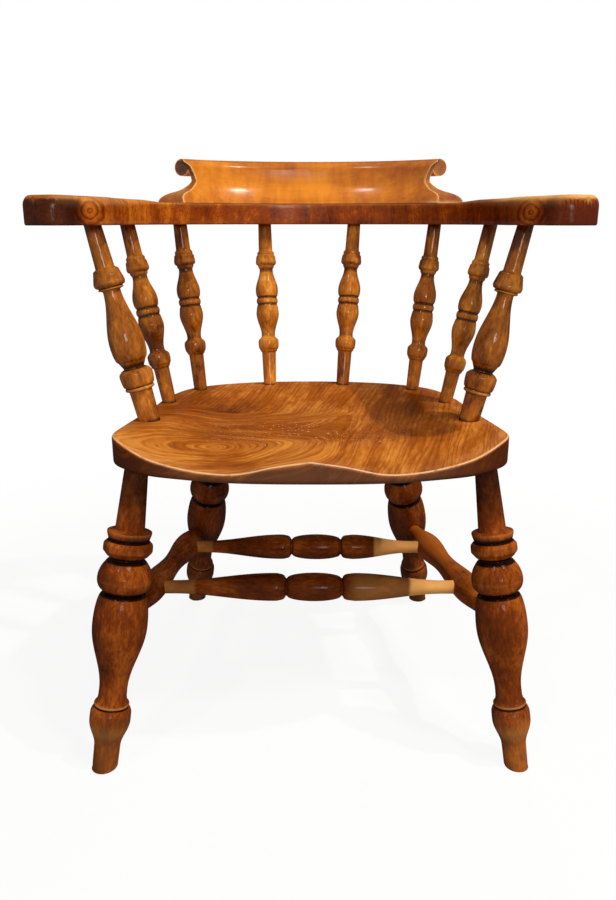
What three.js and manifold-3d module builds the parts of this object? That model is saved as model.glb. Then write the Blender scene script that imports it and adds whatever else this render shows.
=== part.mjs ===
import * as THREE from "three";
import { mergeVertices } from "three/addons/utils/BufferGeometryUtils.js";
import Module from "manifold-3d";

// A smoker's bow armchair of turned and sawn wood, in millimetres, with +Z up and its front towards -Y.
// The chair is laid out from the middle of the line that joins the tops of its two arm posts.

// Overall sizes
const seatHeight = 433; // floor to the flat rim of the seat
const armHeight = 716.5; // floor to the top of the arm bow
const fit = 0.3; // clearance between pieces that touch
const overrun = 12; // how far a cutting shape reaches past the wood it cuts

// Seat: one thick plank with a saddle hollowed out of its top
const seatHalfWidth = 252;
const seatFront = 160; // front edge to the line of the posts
const seatBack = 259.4; // the line of the posts to the back edge
const seatThickness = 42.5;
const seatDish = 13; // depth of the hollow in the middle
const seatTopRound = 4;
const seatBottomRound = 7;
const seatOutlineShares = [
  [0, 0], [0.38, 0.011], [0.66, 0.05], [0.81, 0.0835], [0.93, 0.139], [1, 0.198],
  [0.976, 0.296], [0.908, 0.532], [0.871, 0.69], [0.763, 0.858], [0.494, 0.9585], [0, 1],
];
// How much of the thickness is worn off the front edge, from the pommel out to the corner
const frontDropShares = [
  [0, 0.3], [0.16, 0.44], [0.36, 0.69], [0.5, 0.71], [0.67, 0.64], [0.81, 0.51], [1, 0.22],
];
const saddleReachShare = 0.3; // share of the seat's depth over which the worn front runs out
const dishStartShare = 0.45;
const dishEndShare = 0.82;
const saddleRingShares = [0.88, 0.76, 0.64, 0.48, 0.24]; // where the hollow has rings of corners

// Arm bow: two halves meeting at the middle of the back
const bowThickness = 31;
const bowHalfWidth = 274; // middle line of the bow at the arm posts
const bowBack = 288; // the line of the posts to the middle line at the back
const bowSquareness = 2.3;
const bowWidth = 55; // at the back
const armWidth = 60;
const armReach = 110; // the line of the posts to the tip of the arm
const armSpread = 38; // how far the arm turns out over its reach
const armSpreadPower = 1.25;
const armRise = 2.8; // how much thicker the arms are than the back
const armRiseLength = 70; // length over which the bow thickens
const armRiseStart = 36; // from the end of the crest to the start of the rise
const armNose = 28; // length of the rounded tip
const noseSquareness = 2.4;
const noseEndShare = 0.92; // share of the quarter turn at which the tip is cut off flat
const armStartShare = 0.5; // share of the way to the posts at which the bow starts to widen
const armTopRound = 12;
const bowTopRound = 2.5;
const bowBottomRound = 2.5;

// Crest rail, standing on the back of the bow with its top rolled over to the rear
const crestRise = 65;
const crestHalfSpan = 208.8; // sideways reach of its foot, on the middle line of the bow
const rollRadius = 12.5;
const rollTurnDegrees = 250; // how far its surface goes round, from the top
const rollSetback = 41; // inner face of the bow to the middle of the roll
const crestEndSkewShare = 0.135; // how far the ends run forward for each length across the bow
const crestFrontShares = [
  [0.01, 0], [0.09, 0.1], [0.165, 0.2], [0.25, 0.33], [0.305, 0.45], [0.345, 0.62], [0.37, 0.78],
];
const crestRearShares = [
  [0.548, 0.69], [0.53, 0.635], [0.522, 0.575], [0.538, 0.5], [0.585, 0.4], [0.665, 0.31], [0.765, 0.245],
  [0.85, 0.19], [0.93, 0.115], [0.955, 0.04], [0.955, 0],
];
// How far the ends are cut in at each height, as shares of the rise
const crestEndShares = [
  [0, 0], [0.1, 0.045], [0.2, 0.16], [0.3, 0.42], [0.38, 0.54], [0.48, 0.635], [0.6, 0.62],
  [0.71, 0.58], [0.83, 0.52], [0.94, 0.415], [1, 0.485],
];
const rollEndShare = 0.445; // how far the ends of the roll are cut in
const rollEndSkewShare = 0.335;

// Legs: four turnings that lean outwards, their feet cut to the floor
const legRadius = 33.8; // at the belly
const legTenon = 18;
const legSpare = 8; // length below the floor before the foot is cut
const floorSize = 1400; // block whose top is the floor, for cutting the feet
const floorDepth = 32;
// Each leg's share of the way round the seat, inset from the seat's edge over its half width,
// lean outwards and backwards over the seat's height, and girth over the leg's radius
const legStanceShares = {
  left: {
    front: [0.159, 0.0734, 0.1178, -0.1594, 1.05],
    rear: [0.3859, 0.145, 0.156, 0.3095, 1],
  },
  right: {
    front: [0.159, 0.0635, 0.1178, -0.1455, 0.98],
    rear: [0.3966, 0.1739, 0.1626, 0.3025, 0.98],
  },
};
const legShares = [
  [0, 0.455], [0.075, 0.475, "line"], [0.165, 0.745, "swell"], [0.232, 0.55, "round"],
  [0.27, 0.508, "line"], [0.485, 0.99, "swell"], [0.6, 0.7, "round"], [0.645, 0.985, "round"],
  [0.708, 0.6, "round"], [0.738, 0.885, "round"], [0.754, 0.865, "line"], [0.769, 0.72, "round"],
  [0.796, 0.8, "line"], [0.801, 0.53, "line"], [1, 0.42, "line"],
];

// Stretchers: an H of side rails with two cross rails
const stretcherFrontHeight = 188.4;
const stretcherRearHeight = 173;
const sideStretcherRadius = 20.5;
const sideTenonShare = 0.56;
const sideTenonInset = 12; // middle of the leg to the end of the tenon
const crossPlaceShares = [0.31, 0.72];
const sideStretcherShares = [
  [0, sideTenonShare], [0.1, sideTenonShare, "line"], [crossPlaceShares[0], 1, "swell"],
  [0.535, 0.73, "swell"], [crossPlaceShares[1], 1, "swell"], [0.91, sideTenonShare, "swell"],
  [1, sideTenonShare, "line"],
];
const crossStretcherRadius = 20.4;
const crossTenonShare = 0.47;
const crossTenonInset = 8;
const frontCrossShift = 7; // the turned pattern sits this far to the right of the middle
const rearCrossShift = 14;
const crossBulge = 58; // middle of the pattern to its side bulges
const crossBulgeShare = 0.98;
const crossNeck = 40;
const crossNeckShare = 0.66;
const crossMiddleShare = 0.5;

// Spindles and arm posts, each standing between the seat and the bow
const rimTenon = 20; // depth of the sockets in the seat
const bowTenon = 20;
const spindleRadius = 17.5;
const postRadius = 23.6;
// Each upright's share of the way round the seat, inset from the seat's edge over its half width,
// share of the way along the bow, reach outwards there over the bow's width, girth over its radius,
// and rise of its turned pattern over its length
const uprightStanceShares = {
  left: {
    arm_post_left: [0.2292, 0.0919, 0.7958, 0.0541, 1.03, 0.02],
    back_spindle_1: [0.2989, 0.0595, 0.5798, 0.0569, 1, -0.004],
    back_spindle_2: [0.37, 0.0698, 0.3846, 0, 1, 0.015],
    back_spindle_3: [0.4549, 0.0825, 0.1308, 0, 1, 0],
  },
  right: {
    back_spindle_4: [0.464, 0.0891, 0.1236, 0, 1, 0.004],
    back_spindle_5: [0.3777, 0.1038, 0.3633, 0, 0.97, -0.02],
    back_spindle_6: [0.2997, 0.0954, 0.5772, -0.0241, 0.93, -0.03],
    arm_post_right: [0.2296, 0.1052, 0.7948, -0.0198, 0.97, 0],
  },
};
const spindleShares = [
  [0, 0.575], [0.203, 0.635, "line"], [0.208, 0.75, "line"], [0.262, 0.945, "round"],
  [0.295, 0.66, "round"], [0.31, 0.62, "line"], [0.45, 1.04, "swell"], [0.505, 0.87, "round"],
  [0.518, 0.97, "line"], [0.532, 0.97, "line"], [0.546, 0.88, "line"], [0.59, 1.03, "round"],
  [0.72, 0.605, "swell"], [0.735, 0.68, "line"], [0.768, 0.935, "round"], [0.81, 0.77, "round"],
  [0.826, 0.77, "line"], [0.836, 0.64, "line"], [1, 0.59, "line"],
];
const postShares = [
  [0, 0.59], [0.143, 0.63, "line"], [0.147, 0.79, "line"], [0.163, 0.8, "line"], [0.225, 0.915, "round"],
  [0.24, 0.87, "round"], [0.253, 0.75, "line"], [0.261, 0.54, "line"], [0.268, 0.59, "line"],
  [0.3, 0.765, "line"], [0.385, 0.955, "round"], [0.66, 0.47, "swell"], [0.667, 0.7, "line"],
  [0.7, 0.845, "round"], [0.74, 0.745, "line"], [0.762, 0.67, "line"], [0.769, 0.51, "line"],
  [1, 0.445, "line"],
];

// Hidden fastenings
const dowelRadius = 5;
const dowelLength = 50;
const dowelSpacing = 24;
const screwRadius = 2.3;
const screwHeadRadius = 4.6;
const screwHeadRim = 1.1;
const screwHeadDepth = 3.4;
const screwReach = 17; // how far the screw goes into the crest
const screwSetback = 21; // inner face of the bow to the screw
const screwPlaceShares = [-0.248, -0.08, 0.08, 0.248]; // along the bow, between its spindles

// Fineness of the faceted surfaces, in counts
const legSides = 16;
const postSides = 14;
const spindleSides = 10;
const stretcherSides = 14;
const screwSides = 10;
const swellSteps = 3;
const roundSteps = 2;
const outlineSteps = 56;
const bowArcSteps = 12;
const armSteps = 5;
const bowSteps = 22;
const noseSteps = 4;
const crestSteps = 20;
const rollSteps = 9;
const cornerSteps = 3;

// Heights that follow from the sizes above
const seatUnderside = seatHeight - seatThickness;
const bowUnderside = armHeight - bowThickness;
const crestFoot = armHeight + fit;
const seatDepth = seatFront + seatBack;
const crossTenonRadius = crossStretcherRadius * crossTenonShare;
const sides = { left: -1, right: 1 };

const wasm = await Module();
wasm.setup();
const up = new THREE.Vector3(0, 0, 1);
const chair = new THREE.Group();

// Reads a table of [place, value] pairs at any place between them
function lookup(table, place) {
  const next = table.findIndex(([at]) => at >= place);
  if (next < 0) return table[table.length - 1][1];
  if (next === 0) return table[0][1];
  const [[at0, value0], [at1, value1]] = [table[next - 1], table[next]];
  return THREE.MathUtils.mapLinear(place, at0, at1, value0, value1);
}

// A closed triangle mesh with its shared corners joined, as a solid that can be cut
function toSolid(geometry) {
  geometry.deleteAttribute("normal");
  geometry.deleteAttribute("uv");
  const joined = mergeVertices(geometry);
  const corners = joined.index.array;
  const kept = [];
  for (let i = 0; i < corners.length; i += 3) {
    const [a, b, c] = corners.slice(i, i + 3);
    if (a !== b && b !== c && c !== a) kept.push(a, b, c);
  }
  return new wasm.Manifold(new wasm.Mesh({
    numProp: 3,
    vertProperties: new Float32Array(joined.attributes.position.array),
    triVerts: new Uint32Array(kept),
  }));
}

function toGeometry(solid) {
  const { vertProperties, triVerts } = solid.getMesh();
  const geometry = new THREE.BufferGeometry();
  geometry.setAttribute("position", new THREE.BufferAttribute(vertProperties, 3));
  geometry.setIndex(new THREE.BufferAttribute(triVerts, 1));
  geometry.computeVertexNormals();
  return geometry;
}

// Puts a solid into the chair as a named mesh, placed by its own frame
function addPiece(name, solid, material, frame = new THREE.Matrix4()) {
  const geometry = toGeometry(solid.transform(frame.clone().invert().elements));
  const mesh = new THREE.Mesh(geometry, material.clone());
  mesh.name = name;
  mesh.applyMatrix4(frame);
  chair.add(mesh);
}

// A skin over rings of points, closed at both ends by the flat outline they share
function loft(rings, outline) {
  const count = rings[0].length;
  const corners = [];
  for (let i = 0; i + 1 < rings.length; i += 1) {
    for (let k = 0; k < count; k += 1) {
      const [a, b] = [i * count + k, i * count + ((k + 1) % count)];
      corners.push(a, b, b + count, a, b + count, a + count);
    }
  }
  const last = (rings.length - 1) * count;
  for (const [a, b, c] of THREE.ShapeUtils.triangulateShape(outline, [])) {
    corners.push(c, b, a, a + last, b + last, c + last);
  }
  const geometry = new THREE.BufferGeometry();
  const places = rings.flat().flatMap((point) => [point.x, point.y, point.z]);
  geometry.setAttribute("position", new THREE.Float32BufferAttribute(places, 3));
  geometry.setIndex(corners);
  return toSolid(geometry);
}

// The frame of a turned piece: its axis is local Z, from one end to the other
function axisFrame(from, to) {
  const direction = to.clone().sub(from);
  const length = direction.length();
  const turn = new THREE.Quaternion().setFromUnitVectors(up, direction.normalize());
  const frame = new THREE.Matrix4().compose(from, turn, new THREE.Vector3(1, 1, 1));
  return { frame, length, from, to };
}

// The outline of a turning: quarter ellipses for rounds and coves, an S for swells, straight lines.
// A round bulges away from the axis and a cove is hollow.
function turningProfile(shares, length, radius) {
  const points = [new THREE.Vector2(shares[0][1] * radius, shares[0][0] * length)];
  for (let i = 1; i < shares.length; i += 1) {
    const [at0, size0] = shares[i - 1];
    const [at1, size1, curve] = shares[i];
    const steps = { line: 1, swell: swellSteps, round: roundSteps, cove: roundSteps }[curve];
    const steepFirst = (curve === "round") === (size1 > size0);
    for (let k = 1; k <= steps; k += 1) {
      const angle = (k / steps) * (Math.PI / 2);
      let [along, across] = steepFirst
        ? [1 - Math.cos(angle), Math.sin(angle)]
        : [Math.sin(angle), 1 - Math.cos(angle)];
      if (curve === "line" || curve === "swell") along = k / steps;
      if (curve === "line") across = along;
      if (curve === "swell") across = (1 - Math.cos(along * Math.PI)) / 2;
      const size = THREE.MathUtils.lerp(size0, size1, across) * radius;
      points.push(new THREE.Vector2(size, THREE.MathUtils.lerp(at0, at1, along) * length));
    }
  }
  return points;
}

// Turns a profile into a solid in the frame of its axis
function turn(points, sides, axis) {
  const [first, last] = [points[0], points[points.length - 1]];
  const closed = [new THREE.Vector2(0, first.y), ...points, new THREE.Vector2(0, last.y)];
  const geometry = new THREE.LatheGeometry(closed, sides);
  geometry.rotateX(Math.PI / 2);
  return toSolid(geometry).transform(axis.frame.elements);
}

// A straight round rod between two places on an axis
function rod(axis, radius, start, end, sides) {
  return turn([new THREE.Vector2(radius, start), new THREE.Vector2(radius, end)], sides, axis);
}

// A turning with a straight tenon past each end
function turnedPiece(axis, shares, radius, baseTenon, topTenon, sides) {
  const points = turningProfile(shares, axis.length, radius);
  const [first, last] = [points[0], points[points.length - 1]];
  if (baseTenon > 0) points.unshift(new THREE.Vector2(first.x, -baseTenon));
  if (topTenon > 0) points.push(new THREE.Vector2(last.x, axis.length + topTenon));
  return turn(points, sides, axis);
}

// Seat outline, walked from the middle of the front round by the right side
const rightOutline = seatOutlineShares.map(
  ([across, back]) => new THREE.Vector3(across * seatHalfWidth, back * seatDepth - seatFront, 0),
);
const leftOutline = rightOutline.slice(1, -1).reverse().map((point) => point.clone().setX(-point.x));
const seatOutline = new THREE.CatmullRomCurve3([...rightOutline, ...leftOutline], true);
seatOutline.arcLengthDivisions = outlineSteps * swellSteps;

// A place on the seat, measured in from its edge
function seatPlace(side, share, inset, height) {
  const tangent = seatOutline.getTangentAt(share);
  const place = seatOutline.getPointAt(share);
  place.add(new THREE.Vector3(-tangent.y, tangent.x, 0).multiplyScalar(inset));
  return new THREE.Vector3(side * place.x, place.y, height);
}

// How deep the saddle lies under the rim; reach is 0 in the middle of the seat and 1 at its edge
function saddleDepth(place, reach) {
  const dish = seatDish * (1 - THREE.MathUtils.smoothstep(reach, dishStartShare, dishEndShare));
  const back = (place.y + seatFront) / (seatDepth * saddleReachShare);
  const worn = 1 - THREE.MathUtils.smoothstep(back, 0, 1);
  const drop = lookup(frontDropShares, Math.abs(place.x) / seatHalfWidth) * seatThickness;
  return THREE.MathUtils.lerp(dish, drop, worn);
}

function makeSeat() {
  const middle = new THREE.Vector3(0, (seatBack - seatFront) / 2, 0);
  const edge = seatOutline.getSpacedPoints(outlineSteps).slice(0, -1);
  const ring = (inset, heightOf) => edge.map((point) => {
    const out = point.clone().sub(middle);
    const reach = 1 - inset / out.length();
    const place = middle.clone().addScaledVector(out, reach);
    return place.setZ(heightOf(place, reach));
  });
  const innerRing = (reach) => edge.map((point) => {
    const place = middle.clone().lerp(point, reach);
    return place.setZ(seatHeight - saddleDepth(place, reach));
  });
  const rim = (below) => (place) => seatHeight - saddleDepth(place, 1) - below;
  const half = Math.SQRT1_2;
  const rings = [
    ring(seatBottomRound, () => seatUnderside),
    ring(seatBottomRound * (1 - half), () => seatUnderside + seatBottomRound * (1 - half)),
    ring(0, () => seatUnderside + seatBottomRound),
    ring(0, rim(seatTopRound)),
    ring(seatTopRound * (1 - half), rim(seatTopRound * (1 - half))),
    ring(seatTopRound, rim(0)),
    ...saddleRingShares.map(innerRing),
  ];
  return loft(rings, edge);
}

// Arm bow: a squared-off arc round the back that runs forward into the flared arms
function bowPoint(angle) {
  const across = Math.sin(angle) / bowHalfWidth;
  const back = Math.cos(angle) / bowBack;
  const reach = (across ** bowSquareness + Math.abs(back) ** bowSquareness) ** (-1 / bowSquareness);
  return new THREE.Vector3(reach * Math.sin(angle), reach * Math.cos(angle), 0);
}

function armPoint(share) {
  const out = armSpread * share ** armSpreadPower;
  return new THREE.Vector3(bowHalfWidth + out, -armReach * share, 0);
}

const bowLine = new THREE.CatmullRomCurve3([
  ...Array.from({ length: bowArcSteps }, (_, i) => bowPoint((i / bowArcSteps) * (Math.PI / 2))),
  ...Array.from({ length: armSteps + 1 }, (_, i) => armPoint(i / armSteps)),
]);
bowLine.arcLengthDivisions = outlineSteps * swellSteps;
const bowLength = bowLine.getLength();

// The share of the bow line at which it comes level with a place, by halving
function bowShareWhere(reached) {
  let [low, high] = [0, 1];
  for (let i = 0; i < outlineSteps; i += 1) {
    const middle = (low + high) / 2;
    if (reached(bowLine.getPointAt(middle))) high = middle;
    else low = middle;
  }
  return high;
}
const postShare = bowShareWhere((point) => point.y <= 0);
const crestHalfLength = bowShareWhere((point) => point.x >= crestHalfSpan) * bowLength;

// A place across the bow: along from the middle of the back, across from its middle line outwards
function bowPlace(along, across, height) {
  const share = Math.min(Math.abs(along) / bowLength, 1);
  const side = Math.sign(along) || 1;
  const tangent = bowLine.getTangentAt(share);
  if (share < 1 / bowLength) tangent.set(1, 0, 0);
  const outwards = new THREE.Vector3(-tangent.y, tangent.x, 0);
  const place = bowLine.getPointAt(share).addScaledVector(outwards, across);
  return new THREE.Vector3(side * place.x, place.y, height);
}

function bowSection(along) {
  const toTip = bowLength - along;
  const armPart = THREE.MathUtils.smoothstep(along / bowLength, postShare * armStartShare, postShare);
  const risen = (along - crestHalfLength - armRiseStart) / armRiseLength;
  const nose = Math.min(toTip / armNose, 1);
  const noseShare = (1 - (1 - nose) ** noseSquareness) ** (1 / noseSquareness);
  const half = (THREE.MathUtils.lerp(bowWidth, armWidth, armPart) / 2) * noseShare;
  const topRound = Math.min(THREE.MathUtils.lerp(bowTopRound, armTopRound, armPart), half);
  const bottomRound = Math.min(bowBottomRound, half);
  const fromTip = Math.min(toTip, topRound);
  const lowered = topRound - Math.sqrt(topRound ** 2 - (topRound - fromTip) ** 2);
  const top = armHeight + armRise * THREE.MathUtils.smoothstep(risen, 0, 1) - lowered;
  const corner = (side, height, round, from, steps) => Array.from({ length: steps + 1 }, (_, i) => {
    const angle = (from + i / steps) * (Math.PI / 2);
    const across = side * (half - round) + round * Math.cos(angle);
    return bowPlace(along, across, height + round * Math.sin(angle));
  });
  return [
    ...corner(1, bowUnderside + bottomRound, bottomRound, 3, 1),
    ...corner(1, top - topRound, topRound, 0, cornerSteps),
    ...corner(-1, top - topRound, topRound, 1, cornerSteps),
    ...corner(-1, bowUnderside + bottomRound, bottomRound, 2, 1),
  ];
}

function makeBowHalf(side) {
  const body = Array.from({ length: bowSteps }, (_, i) => (i / bowSteps) * (bowLength - armNose));
  const nose = Array.from({ length: noseSteps + 1 }, (_, i) => {
    const angle = (i / noseSteps) * noseEndShare * (Math.PI / 2);
    return bowLength - armNose * (1 - Math.sin(angle));
  });
  const rings = [...body, ...nose].map((along) => bowSection(along));
  for (const point of rings[0]) point.x = fit / 2;
  const outline = rings[0].map((point) => new THREE.Vector2(point.y, point.z));
  const half = loft(rings, outline);
  return side > 0 ? half : half.mirror([1, 0, 0]);
}

// Crest rail: one outline across the bow, carried along it, with ends sawn to a scroll
function crestOutline() {
  const rollHeight = crestRise - rollRadius;
  const front = crestFrontShares.map(([across, height]) => [across * bowWidth, height * crestRise]);
  const [shoulderAcross, shoulderHeight] = front[front.length - 1];
  const shoulder = Array.from({ length: cornerSteps }, (_, i) => {
    const angle = ((i + 1) / (cornerSteps + 1)) * (Math.PI / 2);
    return [
      rollSetback - (rollSetback - shoulderAcross) * Math.cos(angle),
      shoulderHeight + (crestRise - shoulderHeight) * Math.sin(angle),
    ];
  });
  const roll = Array.from({ length: rollSteps + 1 }, (_, i) => {
    const angle = Math.PI / 2 - (i / rollSteps) * THREE.MathUtils.degToRad(rollTurnDegrees);
    return [rollSetback + rollRadius * Math.cos(angle), rollHeight + rollRadius * Math.sin(angle)];
  });
  const rear = crestRearShares.map(([across, height]) => [across * bowWidth, height * crestRise]);
  const withEnds = (points, rolled) => points.map(([across, height]) => {
    const cutIn = rolled ? rollEndShare : lookup(crestEndShares, height / crestRise);
    const skewed = rolled ? rollEndSkewShare * (across - rollSetback) : crestEndSkewShare * across;
    return { across, height, end: crestHalfLength - cutIn * crestRise + skewed };
  });
  return [...withEnds([...front, ...shoulder], false), ...withEnds(roll, true), ...withEnds(rear, false)];
}

function makeCrest() {
  const outline = crestOutline().reverse();
  const rings = Array.from({ length: crestSteps + 1 }, (_, i) => outline.map(({ across, height, end }) => {
    const along = THREE.MathUtils.lerp(-end, end, i / crestSteps);
    return bowPlace(along, across - bowWidth / 2, crestFoot + height);
  }));
  return loft(rings, outline.map(({ across, height }) => new THREE.Vector2(across, height)));
}

// Materials: the woods of the chair, darkest on the legs and lightest on the crest
const wood = (color, roughness) => new THREE.MeshStandardMaterial({ color, roughness, metalness: 0 });
const seatWood = wood(0x9a5a24, 0.35);
const legWood = wood(0x7c3d16, 0.35);
const spindleWood = wood(0x8f5420, 0.35);
const bowWood = wood(0x8a4616, 0.35);
const crestWood = wood(0xa85f1e, 0.3);
const dowelWood = wood(0xc09a6a, 0.7);
const steel = new THREE.MeshStandardMaterial({ color: 0x8a8a88, roughness: 0.4, metalness: 1 });

let seat = makeSeat();
let crest = makeCrest();
const bowHalves = { left: makeBowHalf(sides.left), right: makeBowHalf(sides.right) };

// Spindles and posts: stand each one up, then cut its two sockets
const spindle = { shares: spindleShares, radius: spindleRadius, count: spindleSides };
const post = { shares: postShares, radius: postRadius, count: postSides };
function standUpright(name, half, stanceShares) {
  const [seatShare, insetShare, bowShare, reachShare, girthShare, riseShare] = stanceShares;
  const { shares, radius, count } = name.startsWith("arm_post") ? post : spindle;
  const from = seatPlace(sides[half], seatShare, insetShare * seatHalfWidth, seatHeight);
  const to = bowPlace(sides[half] * bowShare * bowLength, reachShare * bowWidth, bowUnderside);
  const axis = axisFrame(from, to);
  const girth = radius * girthShare;
  const raised = shares.map(([at, ...rest]) => [at > 0 && at < 1 ? at + riseShare : at, ...rest]);
  addPiece(name, turnedPiece(axis, raised, girth, rimTenon, bowTenon, count), spindleWood, axis.frame);
  const baseRadius = shares[0][1] * girth + fit;
  const topRadius = shares[shares.length - 1][1] * girth + fit;
  const socket = rod(axis, topRadius, axis.length - overrun, axis.length + bowTenon + fit, count);
  seat = seat.subtract(rod(axis, baseRadius, -rimTenon - fit, overrun, count));
  bowHalves[half] = bowHalves[half].subtract(socket);
}

for (const [half, uprights] of Object.entries(uprightStanceShares)) {
  for (const [name, stanceShares] of Object.entries(uprights)) standUpright(name, half, stanceShares);
}

// Legs: their axes run from the floor to the underside of the seat
function legAxis(half, end) {
  const [seatShare, insetShare, splayShare, rakeShare] = legStanceShares[half][end];
  const top = seatPlace(sides[half], seatShare, insetShare * seatHalfWidth, seatUnderside);
  const foot = new THREE.Vector3(sides[half] * splayShare, rakeShare, 0).multiplyScalar(seatHeight);
  return axisFrame(foot.add(top).setZ(0), top);
}

// The place on a leg's axis at a height above the floor
const onAxis = (axis, height) => axis.from.clone().lerp(axis.to, height / axis.to.z);

// The axes of the two legs on one side and of the rail between them
function sideAxes(half) {
  const front = legAxis(half, "front");
  const rear = legAxis(half, "rear");
  const rail = axisFrame(onAxis(front, stretcherFrontHeight), onAxis(rear, stretcherRearHeight));
  return { front, rear, rail };
}

// The axis of a cross rail, from the middle of the left side rail to the middle of the right one
function crossAxis(placeShare) {
  const onRail = ({ rail }) => rail.from.clone().lerp(rail.to, placeShare);
  return axisFrame(onRail(supports.left), onRail(supports.right));
}
const supports = { left: sideAxes("left"), right: sideAxes("right") };
const crossAxes = crossPlaceShares.map(crossAxis);

// The hole for a tenon at one end of an axis: inset is where the tenon ends, reach is where the hole opens
function mortise(axis, tenonRadius, inset, reach, atTop) {
  const [near, far] = [inset - fit, reach + overrun];
  const [start, end] = atTop ? [axis.length - far, axis.length - near] : [near, far];
  return rod(axis, tenonRadius + fit, start, end, stretcherSides);
}

const floorBox = new THREE.BoxGeometry(floorSize, floorSize, floorDepth);
const belowFloor = toSolid(floorBox.translate(0, 0, -floorDepth / 2));

// Turns a leg, cuts its foot to the floor and cuts its socket in the seat
function makeLeg(axis, girthShare) {
  const radius = legRadius * girthShare;
  const [[, foot], ...rest] = legShares;
  const shares = [[-legSpare / axis.length, foot], [0, foot, "line"], ...rest];
  const tenonRadius = legShares[legShares.length - 1][1] * radius + fit;
  const end = axis.length + legTenon + fit;
  seat = seat.subtract(rod(axis, tenonRadius, axis.length - overrun, end, legSides));
  return turnedPiece(axis, shares, radius, 0, legTenon, legSides).subtract(belowFloor);
}

function makeSideStretcher(rail, atTop) {
  const endShare = sideTenonInset / rail.length;
  const shares = sideStretcherShares.map(
    ([at, ...rest]) => [THREE.MathUtils.clamp(at, endShare, 1 - endShare), ...rest],
  );
  const stretcher = turnedPiece(rail, shares, sideStretcherRadius, 0, 0, stretcherSides);
  return crossAxes.reduce((cut, axis) => (
    cut.subtract(mortise(axis, crossTenonRadius, crossTenonInset, sideStretcherRadius, atTop))
  ), stretcher);
}

for (const [half, side] of Object.entries(sides)) {
  const { rail } = supports[half];
  const tenonRadius = sideStretcherRadius * sideTenonShare;
  for (const end of ["front", "rear"]) {
    const axis = supports[half][end];
    const girthShare = legStanceShares[half][end].at(-1);
    const hole = mortise(rail, tenonRadius, sideTenonInset, legRadius, end === "rear");
    addPiece(`leg_${end}_${half}`, makeLeg(axis, girthShare).subtract(hole), legWood, axis.frame);
  }
  addPiece(`side_stretcher_${half}`, makeSideStretcher(rail, side > 0), legWood, rail.frame);
}

function makeCrossStretcher(axis, shift) {
  const at = (distance) => crossMiddleShare + (shift + distance) / axis.length;
  const end = crossTenonInset / axis.length;
  const shoulder = (sideStretcherRadius + overrun) / axis.length;
  const shares = [
    [end, crossTenonShare], [shoulder, crossTenonShare, "line"],
    [at(-crossBulge), crossBulgeShare, "swell"], [at(-crossNeck), crossNeckShare, "round"],
    [at(0), 1, "round"],
    [at(crossNeck), crossNeckShare, "round"], [at(crossBulge), crossBulgeShare, "round"],
    [1 - shoulder, crossTenonShare, "swell"], [1 - end, crossTenonShare, "line"],
  ];
  return turnedPiece(axis, shares, crossStretcherRadius, 0, 0, stretcherSides);
}

const crossShifts = { front: frontCrossShift, rear: rearCrossShift };
Object.entries(crossShifts).forEach(([end, shift], i) => {
  const axis = crossAxes[i];
  addPiece(`cross_stretcher_${end}`, makeCrossStretcher(axis, shift), legWood, axis.frame);
});

// Dowels across the joint in the middle of the bow
["front", "rear"].forEach((end, i) => {
  const back = bowBack + (i - 0.5) * dowelSpacing;
  const height = bowUnderside + bowThickness / 2;
  const reach = dowelLength / 2;
  const axis = axisFrame(new THREE.Vector3(-reach, back, height), new THREE.Vector3(reach, back, height));
  addPiece(`bow_dowel_${end}`, rod(axis, dowelRadius, 0, axis.length, screwSides), dowelWood, axis.frame);
  const hole = rod(axis, dowelRadius + fit, -fit, axis.length + fit, screwSides);
  for (const half of Object.keys(sides)) bowHalves[half] = bowHalves[half].subtract(hole);
});

// Screws from under the bow into the crest
screwPlaceShares.forEach((share, i) => {
  const across = screwSetback - bowWidth / 2;
  const along = share * bowLength;
  const length = bowThickness + fit + screwReach;
  const head = bowPlace(along, across, bowUnderside);
  const axis = axisFrame(head, head.clone().setZ(bowUnderside + length));
  const screwPoints = (gap) => [
    new THREE.Vector2(screwHeadRadius + gap, gap > 0 ? -overrun : 0),
    new THREE.Vector2(screwHeadRadius + gap, screwHeadRim),
    new THREE.Vector2(screwRadius + gap, screwHeadDepth + gap),
    new THREE.Vector2(screwRadius + gap, length + gap),
  ];
  addPiece(`crest_screw_${i + 1}`, turn(screwPoints(0), screwSides, axis), steel, axis.frame);
  const hole = turn(screwPoints(fit), screwSides, axis);
  for (const half of Object.keys(sides)) bowHalves[half] = bowHalves[half].subtract(hole);
  crest = crest.subtract(hole);
});

addPiece("seat", seat, seatWood);
for (const [half, solid] of Object.entries(bowHalves)) addPiece(`arm_bow_${half}`, solid, bowWood);
addPiece("crest_rail", crest, crestWood);

// The finished chair stands over its own middle
const group = new THREE.Group();
group.add(chair);
const bounds = new THREE.Box3().setFromObject(chair, true);
const centre = bounds.getCenter(new THREE.Vector3());
chair.position.set(-centre.x, -centre.y, -bounds.min.z);
group.updateMatrixWorld(true);

export default group;
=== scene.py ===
import math

import bpy
import numpy as np
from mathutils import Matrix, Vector
from mathutils.geometry import delaunay_2d_cdt


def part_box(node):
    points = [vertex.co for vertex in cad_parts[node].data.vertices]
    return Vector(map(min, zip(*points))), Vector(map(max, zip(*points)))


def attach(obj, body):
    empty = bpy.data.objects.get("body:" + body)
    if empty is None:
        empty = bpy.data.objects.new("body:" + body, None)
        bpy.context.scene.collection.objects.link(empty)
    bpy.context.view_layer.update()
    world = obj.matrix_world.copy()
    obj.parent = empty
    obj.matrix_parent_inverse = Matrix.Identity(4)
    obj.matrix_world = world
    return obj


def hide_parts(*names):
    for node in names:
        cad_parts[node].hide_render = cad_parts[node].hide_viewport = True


# A smoker's bow armchair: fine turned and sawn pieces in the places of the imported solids.
# Lengths are in millimetres and become metres when a mesh is made.

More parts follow.
